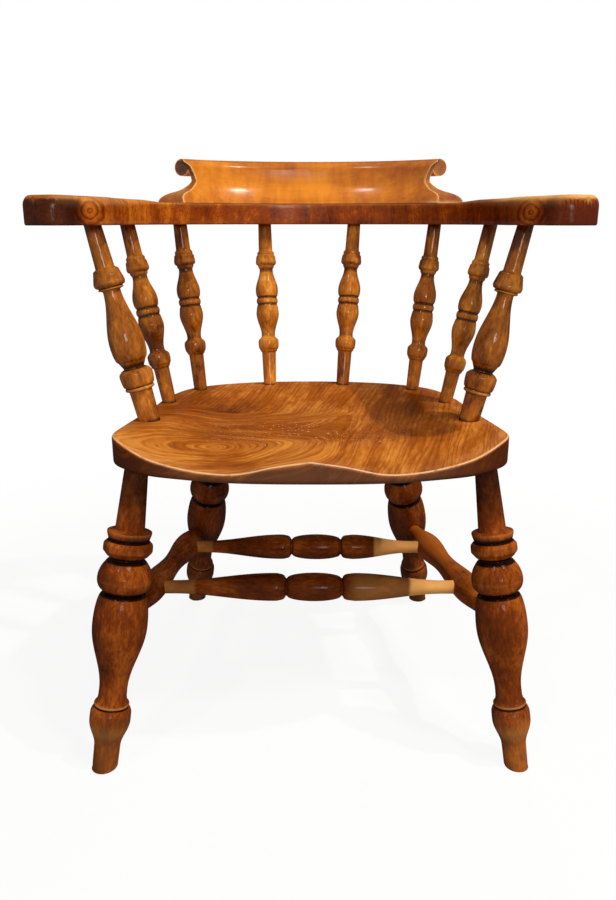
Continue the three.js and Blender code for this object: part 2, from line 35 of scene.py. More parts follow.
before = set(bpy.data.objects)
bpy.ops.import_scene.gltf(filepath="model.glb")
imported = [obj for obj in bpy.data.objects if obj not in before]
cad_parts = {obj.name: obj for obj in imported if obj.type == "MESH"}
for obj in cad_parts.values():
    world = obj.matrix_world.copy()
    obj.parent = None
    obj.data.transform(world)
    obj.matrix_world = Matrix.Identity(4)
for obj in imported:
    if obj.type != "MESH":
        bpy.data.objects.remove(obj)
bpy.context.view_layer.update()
scene = bpy.context.scene
MM = 0.001
SIDES = {"left": -1, "right": 1}

# Overall sizes
SEAT_HEIGHT = 433
ARM_HEIGHT = 716.5
FIT = 0.3

# Seat
SEAT_HALF_WIDTH = 252
SEAT_FRONT = 160
SEAT_BACK = 259.4
SEAT_THICKNESS = 42.5
SEAT_DISH = 13
SEAT_TOP_ROUND = 4
SEAT_BOTTOM_ROUND = 7
SEAT_UNDERSIDE = SEAT_HEIGHT - SEAT_THICKNESS
SEAT_DEPTH = SEAT_FRONT + SEAT_BACK
SADDLE_REACH_SHARE = 0.3
DISH_START_SHARE = 0.45
DISH_END_SHARE = 0.82
SEAT_OUTLINE_SHARES = [
    (0, 0), (0.38, 0.011), (0.66, 0.05), (0.81, 0.0835), (0.93, 0.139), (1, 0.198), (0.976, 0.296),
    (0.908, 0.532), (0.871, 0.69), (0.763, 0.858), (0.494, 0.9585), (0, 1),
]
FRONT_DROP_SHARES = [
    (0, 0.3), (0.16, 0.44), (0.36, 0.69), (0.5, 0.71), (0.67, 0.64), (0.81, 0.51), (1, 0.22),
]

# Arm bow
BOW_THICKNESS = 31
BOW_HALF_WIDTH = 274
BOW_BACK = 288
BOW_SQUARENESS = 2.3
BOW_WIDTH = 55
ARM_WIDTH = 60
ARM_REACH = 110
ARM_SPREAD = 38
ARM_SPREAD_POWER = 1.25
ARM_RISE = 2.8
ARM_RISE_LENGTH = 70
ARM_RISE_START = 36
ARM_NOSE = 28
NOSE_SQUARENESS = 2.4
NOSE_END_SHARE = 0.975
ARM_START_SHARE = 0.5
ARM_TOP_ROUND = 12
BOW_EDGE_ROUND = 2.5
BOW_ARC_STEPS = 12
ARM_STEPS = 5
BOW_UNDERSIDE = ARM_HEIGHT - BOW_THICKNESS

# Crest rail
CREST_RISE = 65
CREST_HALF_SPAN = 208.8
CREST_FOOT = ARM_HEIGHT + FIT
ROLL_RADIUS = 12.5
ROLL_TURN = math.radians(250)
ROLL_SETBACK = 41
CREST_END_SKEW_SHARE = 0.135
ROLL_END_SHARE = 0.445
ROLL_END_SKEW_SHARE = 0.335
CREST_FRONT_SHARES = [
    (0.01, 0), (0.09, 0.1), (0.165, 0.2), (0.25, 0.33), (0.305, 0.45), (0.345, 0.62), (0.37, 0.78),
]
CREST_REAR_SHARES = [
    (0.548, 0.69), (0.53, 0.635), (0.522, 0.575), (0.538, 0.5), (0.585, 0.4), (0.665, 0.31),
    (0.765, 0.245), (0.85, 0.19), (0.93, 0.115), (0.955, 0.04), (0.955, 0),
]
CREST_END_SHARES = [
    (0, 0), (0.1, 0.045), (0.2, 0.16), (0.3, 0.42), (0.38, 0.54), (0.48, 0.635), (0.6, 0.62),
    (0.71, 0.58), (0.83, 0.52), (0.94, 0.415), (1, 0.485),
]

# Legs: share round the seat, inset, splay, rake, girth and darkness, which on the rear legs is painted
# shade under the seat; then the outline of the turning
LEG_RADIUS = 33.8
LEGS = {
    "left": {
        "front": (0.159, 0.0734, 0.1178, -0.1594, 1.05, 0),
        "rear": (0.3859, 0.145, 0.156, 0.3095, 1, 0.3),
    },
    "right": {
        "front": (0.159, 0.0635, 0.1178, -0.1455, 0.98, 0.02),
        "rear": (0.3966, 0.1739, 0.1626, 0.3025, 0.98, 0.14),
    },
}
LEG_SHARES = [
    (0, 0.455), (0.008, 0.462), (0.075, 0.475), (0.165, 0.745, "swell"), (0.195, 0.735, "round"),
    (0.205, 0.69), (0.2135, 0.58), (0.22, 0.64, "round"), (0.2265, 0.58, "round"), (0.233, 0.545),
    (0.245, 0.515), (0.27, 0.508), (0.485, 0.99, "swell"), (0.592, 0.74, "round"), (0.598, 0.66),
    (0.602, 0.7), (0.64, 0.985, "round"), (0.655, 0.97), (0.67, 0.915), (0.68, 0.86), (0.69, 0.785),
    (0.7, 0.7), (0.706, 0.62), (0.7105, 0.6), (0.715, 0.7), (0.72, 0.76), (0.73, 0.845),
    (0.738, 0.885, "round"), (0.75, 0.88), (0.758, 0.845, "round"), (0.7655, 0.77), (0.769, 0.7),
    (0.772, 0.735), (0.79, 0.795), (0.7965, 0.8), (0.8, 0.78), (0.801, 0.53), (1, 0.42),
]

# Stretchers
STRETCHER_FRONT_HEIGHT = 188.4
STRETCHER_REAR_HEIGHT = 173
SIDE_STRETCHER_RADIUS = 20.5
SIDE_TENON_SHARE = 0.56
SIDE_TENON_INSET = 12
CROSS_PLACE_SHARES = (0.31, 0.72)
SIDE_STRETCHER_SHARES = [
    (0, SIDE_TENON_SHARE), (0.1, SIDE_TENON_SHARE), (CROSS_PLACE_SHARES[0], 1, "swell"),
    (0.535, 0.73, "swell"), (CROSS_PLACE_SHARES[1], 1, "swell"), (0.91, SIDE_TENON_SHARE, "swell"),
    (1, SIDE_TENON_SHARE),
]
CROSS_STRETCHER_RADIUS = 20.4
CROSS_TENON_SHARE = 0.47
CROSS_TENON_INSET = 8
CROSS_SHOULDER = 32.5
CROSS_SHIFTS = {"front": 7, "rear": 14}
CROSS_PATTERN = [  # places from the middle of the turning, in millimetres, and shares of its radius
    (-58, 0.98, "swell"), (-50, 0.93, "round"), (-41, 0.6, "round"), (-39, 0.62), (0, 1, "round"),
    (39, 0.62, "round"), (41, 0.6), (50, 0.93, "round"), (58, 0.98),
]

# Uprights: share round the seat, inset, share along the bow, reach, girth, rise of the rings, darkness
SPINDLE_RADIUS = 17.5
POST_RADIUS = 23.6
UPRIGHTS = {
    "left": {
        "arm_post_left": (0.2292, 0.0919, 0.7958, 0.0541, 1.03, 0.02, 0.2),
        "back_spindle_1": (0.2989, 0.0595, 0.5798, 0.0569, 1, -0.004, 0.28),
        "back_spindle_2": (0.37, 0.0698, 0.3846, 0, 1, 0.015, 0.36),
        "back_spindle_3": (0.4549, 0.0825, 0.1308, 0, 1, 0, 0.04),
    },
    "right": {
        "back_spindle_4": (0.464, 0.0891, 0.1236, 0, 1, 0.004, 0.16),
        "back_spindle_5": (0.3777, 0.1038, 0.3633, 0, 0.97, -0.02, 0.2),
        "back_spindle_6": (0.2997, 0.0954, 0.5772, -0.0241, 0.93, -0.03, -0.04),
        "arm_post_right": (0.2296, 0.1052, 0.7948, -0.0198, 0.97, 0, 0.28),
    },
}
SPINDLE_SHARES = [
    (0, 0.575), (0.203, 0.64), (0.205, 0.66), (0.21, 0.75, "round"), (0.217, 0.8), (0.2185, 0.77),
    (0.222, 0.82), (0.262, 0.945, "round"), (0.282, 0.88, "round"), (0.29, 0.79), (0.295, 0.68),
    (0.3, 0.64), (0.31, 0.62), (0.45, 1.045, "swell"), (0.49, 0.96), (0.503, 0.88), (0.508, 0.9),
    (0.525, 0.98, "round"), (0.54, 0.91, "round"), (0.545, 0.87), (0.55, 0.885), (0.59, 1.03, "round"),
    (0.72, 0.605, "swell"), (0.727, 0.605), (0.733, 0.7, "round"), (0.742, 0.74), (0.745, 0.71),
    (0.748, 0.8), (0.768, 0.935, "round"), (0.79, 0.885), (0.808, 0.78, "round"), (0.811, 0.75),
    (0.816, 0.78), (0.826, 0.77), (0.832, 0.66), (0.84, 0.63), (1, 0.59),
]
POST_SHARES = [
    (0, 0.59), (0.143, 0.63), (0.1445, 0.7), (0.148, 0.8, "round"), (0.156, 0.805), (0.1615, 0.79),
    (0.163, 0.74), (0.1645, 0.74), (0.167, 0.8), (0.225, 0.915, "round"), (0.24, 0.87, "round"),
    (0.2465, 0.8), (0.253, 0.74), (0.257, 0.62), (0.2605, 0.54), (0.2625, 0.6), (0.2645, 0.55),
    (0.268, 0.59), (0.3, 0.765), (0.385, 0.955, "round"), (0.66, 0.47, "swell"), (0.6625, 0.6),
    (0.667, 0.7, "round"), (0.672, 0.66), (0.6745, 0.6), (0.677, 0.7), (0.7, 0.845, "round"),
    (0.735, 0.75), (0.737, 0.7), (0.739, 0.745), (0.745, 0.73), (0.747, 0.68), (0.749, 0.715),
    (0.762, 0.665), (0.769, 0.51), (1, 0.445),
]

# Fastenings
DOWEL_RADIUS = 5
DOWEL_LENGTH = 50
DOWEL_SPACING = 24
DOWEL_SHARES = [(0, 0.8), (0.03, 1), (0.97, 1), (1, 0.8)]
SCREW_RADIUS = 2.3
SCREW_HEAD_RADIUS = 4.6
SCREW_HEAD_RIM = 1.1
SCREW_HEAD_DEPTH = 3.4
SCREW_REACH = 17
SCREW_SETBACK = 21
SCREW_PLACE_SHARES = (-0.248, -0.08, 0.08, 0.248)
SCREW_TAPER_SHARE = 0.96
SCREW_TIP_SHARE = 0.3
TENON = 6  # how far a turning runs on inside the wood that it stands in

# The chair is laid out from the line through its two arm posts, as its solids are
dowel_low, dowel_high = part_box("bow_dowel_front")
POST_LINE = (dowel_low.y + dowel_high.y) / 2 - (BOW_BACK - DOWEL_SPACING / 2) * MM


def placed(name, data):
    made = bpy.data.objects.new(name, data)
    scene.collection.objects.link(made)
    return made


# The photograph's camera
IMAGE_HEIGHT = 900
FOCAL_PIXELS = 780
CAMERA_TILT = 16.33
CAMERA_TURN = 0.176
CAMERA_DISTANCE = 1.03
CAMERA_LEVEL = 0.69
camera = placed("camera", bpy.data.cameras.new("camera"))
camera.data.sensor_width = 36
camera.data.lens = FOCAL_PIXELS / IMAGE_HEIGHT * camera.data.sensor_width
camera.location = (0, POST_LINE - CAMERA_DISTANCE, CAMERA_LEVEL)
camera.rotation_euler = (math.radians(90 - CAMERA_TILT), 0, math.radians(CAMERA_TURN))
scene.camera = camera


# Curves

def lerp(a, b, share):
    return a + (b - a) * share


def smoothstep(value, low, high):
    share = np.clip((value - low) / (high - low), 0, 1)
    return share * share * (3 - 2 * share)


def bump(value, middle, reach):
    return np.exp(-(((value - middle) / reach) ** 2))


def smooth_lookup(table, place):
    """A smooth curve through a table of (place, value) pairs, read at an array of places."""
    at, value = np.array(table, float).T
    slope = np.gradient(value, at)
    place = np.clip(place, at[0], at[-1])
    k = np.clip(np.searchsorted(at, place, side="right") - 1, 0, len(at) - 2)
    width = at[k + 1] - at[k]
    t = (place - at[k]) / width
    rise = value[k + 1] - value[k]
    a = slope[k] * width - rise
    b = rise - slope[k + 1] * width
    return value[k] + t * rise + t * (1 - t) * (a * (1 - t) + b * t)


class Curve:
    """A centripetal spline through points, walked by shares of its length."""

    SAMPLES = 6000

    def __init__(self, points, closed=False):
        points = np.array(points, float)
        before, after = (points[-1:], points[:2]) if closed else (
            [2 * points[0] - points[1]], [2 * points[-1] - points[-2]]
        )
        runs = np.concatenate([before, points, after])
        count = len(points) if closed else len(points) - 1
        t = np.linspace(0, count, self.SAMPLES)
        index = np.minimum(t.astype(int), count - 1)
        weight = (t - index)[:, None]
        p0, p1, p2, p3 = (runs[index + k] for k in range(4))
        pairs = ((p0, p1), (p1, p2), (p2, p3))
        d0, d1, d2 = (np.sqrt(np.linalg.norm(b - a, axis=1))[:, None] for a, b in pairs)
        m1 = ((p1 - p0) / d0 - (p2 - p0) / (d0 + d1) + (p2 - p1) / d1) * d1
        m2 = ((p2 - p1) / d1 - (p3 - p1) / (d1 + d2) + (p3 - p2) / d2) * d1
        bend, twist = -3 * p1 + 3 * p2 - 2 * m1 - m2, 2 * p1 - 2 * p2 + m1 + m2
        self.places = p1 + m1 * weight + bend * weight**2 + twist * weight**3
        steps = np.linalg.norm(np.diff(self.places, axis=0), axis=1)
        self.walked = np.concatenate([[0], np.cumsum(steps)])
        self.length = self.walked[-1]
        self.slopes = np.gradient(self.places, self.walked, axis=0)

    def read(self, values, share):
        target = np.clip(share, 0, 1) * self.length
        return np.stack([np.interp(target, self.walked, column) for column in values.T], axis=-1)

    def at(self, share):
        return self.read(self.places, share)

    def outwards(self, share):
        """Square to the curve, on the left of someone who walks along it."""
        slope = self.read(self.slopes, share)
        slope /= np.linalg.norm(slope, axis=-1, keepdims=True)
        return np.stack([-slope[..., 1], slope[..., 0]], axis=-1)

    def share_where(self, reached):
        return self.walked[np.argmax(reached(self.places))] / self.length


right_outline = [(x * SEAT_HALF_WIDTH, y * SEAT_DEPTH - SEAT_FRONT) for x, y in SEAT_OUTLINE_SHARES]
left_outline = [(-x, y) for x, y in reversed(right_outline[1:-1])]
seat_curve = Curve(right_outline + left_outline, closed=True)


def seat_place(side, share, inset, height):
    x, y = seat_curve.at(share) + seat_curve.outwards(share) * inset
    return np.array([side * x, y, height])


def bow_point(angle):
    across, back = math.sin(angle) / BOW_HALF_WIDTH, math.cos(angle) / BOW_BACK
    reach = (across**BOW_SQUARENESS + abs(back) ** BOW_SQUARENESS) ** (-1 / BOW_SQUARENESS)
    return reach * math.sin(angle), reach * math.cos(angle)


def arm_point(share):
    return BOW_HALF_WIDTH + ARM_SPREAD * share**ARM_SPREAD_POWER, -ARM_REACH * share


bow_curve = Curve(
    [bow_point(i / BOW_ARC_STEPS * math.pi / 2) for i in range(BOW_ARC_STEPS)]
    + [arm_point(i / ARM_STEPS) for i in range(ARM_STEPS + 1)]
)
BOW_LENGTH = bow_curve.length
POST_SHARE = bow_curve.share_where(lambda places: places[:, 1] <= 0)
CREST_HALF_LENGTH = bow_curve.share_where(lambda places: places[:, 0] >= CREST_HALF_SPAN) * BOW_LENGTH


def bow_place(along, across, height):
    """Places in the bow: along from the middle of the back, across outwards from its middle line."""
    along, across, height = np.broadcast_arrays(*(np.asarray(v, float) for v in (along, across, height)))
    share = np.abs(along) / BOW_LENGTH
    outwards = bow_curve.outwards(share)
    outwards[share < 1 / BOW_LENGTH] = (0, 1)
    flat = bow_curve.at(share) + outwards * across[..., None]
    side = np.where(along < 0, -1, 1)
    return np.stack([side * flat[..., 0], flat[..., 1], height], axis=-1)


# Meshes

def add_piece(name, points, faces, material, fields, sharp=35):
    """Makes a piece from points in millimetres; fields are values at its points for its material."""
    mesh = bpy.data.meshes.new(name)
    places = np.array(points, float) * MM
    places[:, 1] += POST_LINE
    mesh.from_pydata(places.tolist(), [], faces)
    for field, values in fields.items():
        values = np.array(values, np.float32)
        kind, key = ("FLOAT_VECTOR", "vector") if values.ndim == 2 else ("FLOAT", "value")
        mesh.attributes.new(field, kind, "POINT").data.foreach_set(key, values.ravel())
    mesh.validate()
    mesh.shade_smooth()
    mesh.set_sharp_from_angle(angle=math.radians(sharp))
    mesh.materials.append(material)
    piece = placed(name, mesh)
    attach(piece, "root")
    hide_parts(name)


def skin(rings, caps=True):
    """Points and outward faces of a closed skin over rings, with a fan at each end."""
    rings = np.array(rings, float)
    count, around = rings.shape[:2]
    points = rings.reshape(-1, 3)
    faces = []
    for i in range(count - 1):
        for k in range(around):
            a, b = i * around + k, i * around + (k + 1) % around
            faces.append((a, b, b + around, a + around))
    if caps:
        for ring, flipped in ((0, True), (count - 1, False)):
            centre = len(points)
            points = np.concatenate([points, rings[ring].mean(axis=0)[None]])
            for k in range(around):
                a, b = ring * around + k, ring * around + (k + 1) % around
                faces.append((b, a, centre) if flipped else (a, b, centre))
    first = np.array([face[:3] for face in faces])
    a, b, c = (points[first[:, k]] for k in range(3))
    if np.einsum("ij,ij->", a, np.cross(b, c)) < 0:
        faces = [face[::-1] for face in faces]
    return points, faces


def spread(values, window, reducer):
    """Moving highest or lowest value over a window, in counts to each side."""
    padded = np.pad(values, window, mode="edge")
    return reducer(np.lib.stride_tricks.sliding_window_view(padded, 2 * window + 1), axis=1)


PROFILE_STEP = 0.4
CURVE_STEPS = 24
OUTLINE_SLACK = 0.012
LONGEST_STEP = 5
SOFTENING = 0.5  # how far the lathe's edges are rubbed over
GROOVE_REACH = 5.0  # half the width of a groove that holds dirt
GROOVE_SLACK = 0.12  # a hollow as shallow as this stays clean
GROOVE_DEPTH = 0.9  # a groove this much deeper is black
DARKEST_GROOVE = 0.95
ARRIS_REACH = 2.4
ARRIS_RISE = 1.3
HEAD_SHADE_START, HEAD_SHADE_FULL = -2.0, -0.6  # in reaches of the shade, from the end of the turning


def turning_profile(shares, length, radius, tenon):
    """The outline of a turning as even steps along it: places and radii.

    A share's third value is the bend that leads up to it. Without one the outline is straight.
    """
    places, sizes = [shares[0][0] * length], [shares[0][1] * radius]
    for (at0, size0, *_), (at1, size1, *bend) in zip(shares, shares[1:]):
        for k in range(1, CURVE_STEPS + 1):
            along = across = k / CURVE_STEPS
            angle = along * math.pi / 2
            if "round" in bend:
                along, across = math.sin(angle), 1 - math.cos(angle)
                if size1 > size0:
                    along, across = across, along
            if "swell" in bend:
                across = (1 - math.cos(along * math.pi)) / 2
            places.append(lerp(at0, at1, along) * length)
            sizes.append(lerp(size0, size1, across) * radius)
    start, end = places[0] - tenon, places[-1] + tenon
    steps = np.linspace(start, end, int((end - start) / PROFILE_STEP) + 1)
    radii = np.interp(steps, places, sizes)
    reach = int(3 * SOFTENING / PROFILE_STEP) + 1
    weights = np.exp(-0.5 * (np.arange(-reach, reach + 1) * PROFILE_STEP / SOFTENING) ** 2)
    return steps, np.convolve(np.pad(radii, reach, mode="edge"), weights / weights.sum(), mode="valid")


def thinned(steps, radii):
    """The fewest steps that keep the outline."""
    kept = [0]
    while kept[-1] < len(steps) - 1:
        i = kept[-1]
        j = i + 1
        while j + 1 < len(steps) and steps[j + 1] - steps[i] < LONGEST_STEP:
            between = slice(i, j + 2)
            straight = np.interp(steps[between], (steps[i], steps[j + 1]), (radii[i], radii[j + 1]))
            if np.abs(straight - radii[between]).max() > OUTLINE_SLACK:
                break
            j += 1
        kept.append(j)
    return np.array(kept)


def turned(name, start, end, shares, radius, material, seed, sides=48, tenon=TENON,
           foot_shade=(0, 1), head_shade=(0, 1), soil=1.0, cast=0.0, pale_and_lit=np.zeros_like):
    """A turned piece between two places.

    foot_shade and head_shade are the strength and the reach of the painted shade at its ends, soil is how
    dark the dirt in its grooves is, cast how dark all of it is, and the last argument its worn paleness
    and painted light along it.
    """
    rng = np.random.default_rng(seed)
    start, end = np.array(start, float), np.array(end, float)
    length = np.linalg.norm(end - start)
    turn = np.array(Vector((0, 0, 1)).rotation_difference(Vector((end - start) / length)).to_matrix())
    steps, radii = turning_profile(shares, length, radius, tenon)
    window = int(GROOVE_REACH / PROFILE_STEP)
    closed = spread(spread(radii, window, np.max), window, np.min)
    window = int(ARRIS_REACH / PROFILE_STEP)
    opened = spread(spread(radii, window, np.min), window, np.max)
    groove = np.clip((closed - radii - GROOVE_SLACK) / GROOVE_DEPTH, 0, DARKEST_GROOVE) * soil
    ridge = np.clip((radii - opened) / ARRIS_RISE, 0, 1)
    strength, reach = foot_shade
    near_foot = np.exp(-np.clip(steps, 0, None) / reach) * strength
    strength, reach = head_shade
    near_head = smoothstep(steps - length, HEAD_SHADE_START * reach, HEAD_SHADE_FULL * reach) * strength
    # Dirt in the grooves, and painted shade at both ends where the turning meets other wood
    shade = np.clip(groove + near_foot + near_head, 0, 1)
    kept = thinned(steps, radii)
    angles = np.arange(sides) / sides * 2 * math.pi
    rings = np.zeros((len(kept), sides, 3))
    rings[:, :, :2] = np.column_stack([np.cos(angles), np.sin(angles)]) * radii[kept][:, None, None]
    rings[:, :, 2] = steps[kept][:, None]
    local, faces = skin(rings)
    points = local @ turn.T + start
    points[:, 2] = np.maximum(points[:, 2], 0)  # the floor cuts the feet flat
    along = local[:, 2]
    spin = rng.uniform(0, 2 * math.pi)
    pith = rng.uniform(0.5, 1.2) * radius * np.array([math.cos(spin), math.sin(spin)])
    grain = local + [*pith, rng.uniform(0, 900)]
    fields = {
        "grain": grain * MM,
        "shade": np.interp(along, steps, shade),
        "worn": np.interp(along, steps, ridge),
        "paling_and_light": pale_and_lit(along / length),
        "cast": np.full(len(points), cast),
    }
    add_piece(name, points, faces, material, fields)


# Materials

def tone(red, green, blue):
    """A colour written as it looks on a screen, out of 255."""
    def linear(value):
        value /= 255
        return value / 12.92 if value <= 0.04045 else ((value + 0.055) / 1.055) ** 2.4
    return (linear(red), linear(green), linear(blue), 1)


def grey(value):
    return (value, value, value, 1)


class Graph:
    """Nodes of a material or the world; a call makes some and returns the socket of their result."""

    def __init__(self, owner):
        self.owner = owner
        owner.use_nodes = True
        self.tree = owner.node_tree
        self.tree.nodes.clear()

    def node(self, kind, inputs=(), output=0, **settings):
        made = self.tree.nodes.new(kind)
        for key, value in settings.items():
            setattr(made, key, value)
        for key, value in dict(inputs).items():
            if isinstance(value, bpy.types.NodeSocket):
                self.tree.links.new(value, made.inputs[key])
            else:
                made.inputs[key].default_value = value
        return made.outputs[output]

    def math(self, operation, *values):
        return self.node("ShaderNodeMath", enumerate(values), operation=operation)

    def times(self, a, b):
        return self.math("MULTIPLY", a, b)

    def plus(self, first, *others):
        for other in others:
            first = self.math("ADD", first, other)
        return first

    def vector(self, operation, *values, output=0):
        return self.node("ShaderNodeVectorMath", enumerate(values), output, operation=operation)

    def scaled(self, vector, factors):
        return self.vector("MULTIPLY", vector, factors)

    def noise(self, vector, scale=1.0, detail=2.0, roughness=0.5, output=0):
        inputs = {"Vector": vector, "Scale": scale, "Detail": detail, "Roughness": roughness}
        return self.node("ShaderNodeTexNoise", inputs, output)

    def noise_along(self, place, scale):
        inputs = {"W": place, "Scale": scale, "Detail": 1}
        return self.node("ShaderNodeTexNoise", inputs, noise_dimensions="1D")

    def swung(self, noise, size):
        """A noise made to swing about zero, mostly within its size to each side."""
        return self.ramped(noise, 0.3, 0.7, -size, size, "LINEAR")

    def swing(self, vector, scale, detail, size):
        return self.swung(self.noise(vector, scale, detail, 0.6), size)

    def ramped(self, value, low, high, start=0.0, end=1.0, curve="SMOOTHSTEP"):
        inputs = {"Value": value, "From Min": low, "From Max": high, "To Min": start, "To Max": end}
        return self.node("ShaderNodeMapRange", inputs, interpolation_type=curve)

    def ramp(self, value, stops):
        colours = self.node("ShaderNodeValToRGB", {0: value})
        elements = colours.node.color_ramp.elements
        while len(elements) < len(stops):
            elements.new(1.0)
        for element, (place, colour) in zip(elements, stops):
            element.position, element.color = place, colour
        return colours

    def mix(self, share, first, second):
        return self.node("ShaderNodeMix", {0: share, 6: first, 7: second}, 2, data_type="RGBA")

    def field(self, name, output=2):
        return self.node("ShaderNodeAttribute", output=output, attribute_name=name)

    def seen(self):
        """1 in what the camera, a mirror or a glass shows, 0 in what lights the object."""
        rays = ("Is Camera Ray", "Is Glossy Ray", "Is Transmission Ray")
        camera_ray, glossy_ray, clear_ray = (self.node("ShaderNodeLightPath", output=ray) for ray in rays)
        return self.math("MAXIMUM", self.math("MAXIMUM", camera_ray, glossy_ray), clear_ray)

    def finish(self, surface, kind="ShaderNodeOutputMaterial"):
        out = self.tree.nodes.new(kind)
        self.tree.links.new(surface, out.inputs[0])
        return self.owner


WOOD_ROUGHNESS = 0.6
COAT_IOR = 2.4
RELIEF_DEPTH = 0.00025
KNOT_REACH = (0.012, 0.026)  # metres from a knot's middle at which its rings begin and end to give way
BASE_SHARE = 0.32
MIDDLE_STOP, DARK_STOP = 0.42, 0.9
GRIME_AND_SHADE_SHARE = 0.96
RING_TONES = [(0, 0.3), (0.12, 0), (0.6, 0.2), (0.9, 1), (1, 0.3)]  # from one growth ring to the next


def wood(name, light, middle, dark, patina_and_shade, worn, ring=0.003, swirl=0.004, figure=0.12, fibre=0.1,
         streak=0.12, blotch=0.15, blotch_scale=16, mottle=0.08, pores=0.15, curl=0.0, drifting=22,
         coat=0.02, coat_rough=0.12, wear=0.7, relief=0.12, knots=False, flecks=False):
    """Varnished wood: growth rings round its grain, fibres, pores, dark grooves, rubbed edges, and the
    painted light and shade that its fields carry.

    ring is the width of a growth ring and swirl how far the rings wander, in metres. figure, fibre,
    streak, blotch, mottle and curl say how far each goes from the light tone to the dark one.
    """
    g = Graph(bpy.data.materials.new(name))
    light, middle, dark, patina_and_shade, worn = (tone(*colour) for colour in (light, middle, dark, patina_and_shade, worn))
    # Growth rings round the grain's axis, bent by a slow noise, which give way to a knot's own
    grain = g.field("grain", 1)
    wander = g.noise(g.scaled(grain, (1, 1, 0.3)), drifting, 2.5, 0.55, output=1)
    drift = g.vector("SUBTRACT", wander, (0.5, 0.5, 0.5))
    bent = g.vector("ADD", grain, g.scaled(drift, (swirl * 2, swirl * 2, swirl)))
    radius = g.vector("LENGTH", g.scaled(bent, (1, 1, 0)), output=1)
    if knots:
        spot = g.field("knot", 1)
        away = g.plus(g.vector("LENGTH", spot, output=1), g.swing(grain, 60, 1, 0.0006))
        inside = g.ramped(away, *KNOT_REACH, 1, 0)
        outside = g.math("SUBTRACT", 1, inside)
        radius = g.plus(g.times(g.times(away, 1.25), inside), g.times(radius, outside))
    uneven = g.noise_along(radius, 0.35 / ring)
    cycle = g.math("FRACT", g.plus(g.math("DIVIDE", radius, ring), g.times(uneven, 2.4)))
    late = g.ramp(cycle, [(place, grey(value)) for place, value in RING_TONES])
    strength = figure
    if knots:
        strength = g.plus(figure, g.times(g.ramped(away, 0.004, 0.022, 1, 0), 0.4))
    # How far each place is from the light tone to the dark one
    curled = g.scaled(spot, (1, 0.12, 0)) if knots else g.scaled(grain, (0.15, 0.15, 1))
    fibres = g.noise(g.scaled(grain, (1, 1, 0.03)), 900, 3, 0.6)
    patches = g.noise(g.scaled(grain, (1, 1, 0.45)), blotch_scale, 3, 0.6)
    share = g.plus(
        BASE_SHARE,
        g.times(late, strength),
        g.swung(fibres, fibre),
        g.swing(g.scaled(bent, (1, 1, 0.06)), 160, 3, streak),
        g.swung(patches, blotch),
        g.swing(g.scaled(grain, (1, 1, 0.4)), 260, 3, mottle),
        g.swing(curled, 130, 2, curl),
        g.field("cast"),
    )
    if knots:
        walk = g.vector("DOT_PRODUCT", grain, (1, 0, 0.75), output=1)
        dashes = g.ramped(g.noise_along(walk, 420), 0.48, 0.6)
        share = g.plus(share, g.times(g.times(dashes, g.field("comb")), 0.35))
    colour = g.ramp(share, [(0, light), (MIDDLE_STOP, middle), (DARK_STOP, dark)])
    # Pores, paler places with painted light, flecks, rubbed edges, and dirt with painted shade lie over
    # that
    pore = g.ramped(g.noise(g.scaled(grain, (1, 1, 0.07)), 1500, 1, 0.5), 0.62, 0.74)
    colour = g.mix(g.times(pore, pores), colour, patina_and_shade)
    # The field that pales the wood mixes towards the worn colour, for worn places and for painted light
    colour = g.mix(g.times(g.field("paling_and_light"), g.ramped(patches, 0.25, 0.75, 1.0, 0.8)), colour, worn)
    if flecks:
        speck = g.ramped(g.noise(g.scaled(grain, (1, 1, 0.6)), 700, 0, 0.5), 0.755, 0.79)
        colour = g.mix(g.times(speck, g.field("comb")), colour, worn)
    rub = g.noise(grain, 120, 3, 0.65)
    edge = g.times(g.field("worn"), g.ramped(rub, 0.2, 0.5))
    colour = g.mix(g.times(edge, wear), colour, worn)
    # The shade field darkens towards the patina colour: dirt in grooves, and painted shade at ends,
    # joints and undersides
    dirt_and_shade = g.plus(g.field("shade"), g.times(g.math("SUBTRACT", rub, 0.5), 0.3))
    grime_and_shade = g.ramped(dirt_and_shade, 0.1, 0.85)
    colour = g.mix(g.times(grime_and_shade, GRIME_AND_SHADE_SHARE), colour, patina_and_shade)
    waves = g.noise(grain, 35, 2)
    height = g.plus(g.times(late, -0.4), g.times(fibres, -0.8), g.times(pore, -1.2), g.times(waves, 1.8))
    normal = g.node("ShaderNodeBump", {"Height": height, "Strength": relief, "Distance": RELIEF_DEPTH})
    return g.finish(g.node("ShaderNodeBsdfPrincipled", {
        "Base Color": colour, "Roughness": WOOD_ROUGHNESS, "Normal": normal, "Specular IOR Level": 0.0,
        "Coat Weight": coat, "Coat Roughness": coat_rough, "Coat IOR": COAT_IOR, "Coat Normal": normal,
    }))


leg_wood = wood(
    "leg_wood", (178, 92, 28), (117, 51, 10), (60, 21, 4), (14, 5, 2), (252, 184, 104),
    figure=0.06, fibre=0.04, streak=0.05, blotch=0.34, blotch_scale=24, mottle=0.16, coat_rough=0.14,
    wear=0.4, relief=0.2,
)
spindle_wood = wood(
    "spindle_wood", (234, 152, 52), (178, 102, 26), (98, 44, 8), (34, 13, 3), (244, 196, 120),
    ring=0.004, figure=0.05, fibre=0.04, streak=0.03, blotch=0.34, blotch_scale=44, mottle=0.16,
    coat=0.055, coat_rough=0.1, wear=0.36,
)
bow_wood = wood(
    "bow_wood", (222, 124, 34), (154, 68, 14), (94, 32, 5), (22, 8, 3), (240, 182, 102),
    ring=0.0046, figure=0.14, streak=0.08, blotch=0.2, blotch_scale=30, curl=0.18, coat=0.042,
    coat_rough=0.16, wear=0.3, knots=True,
)
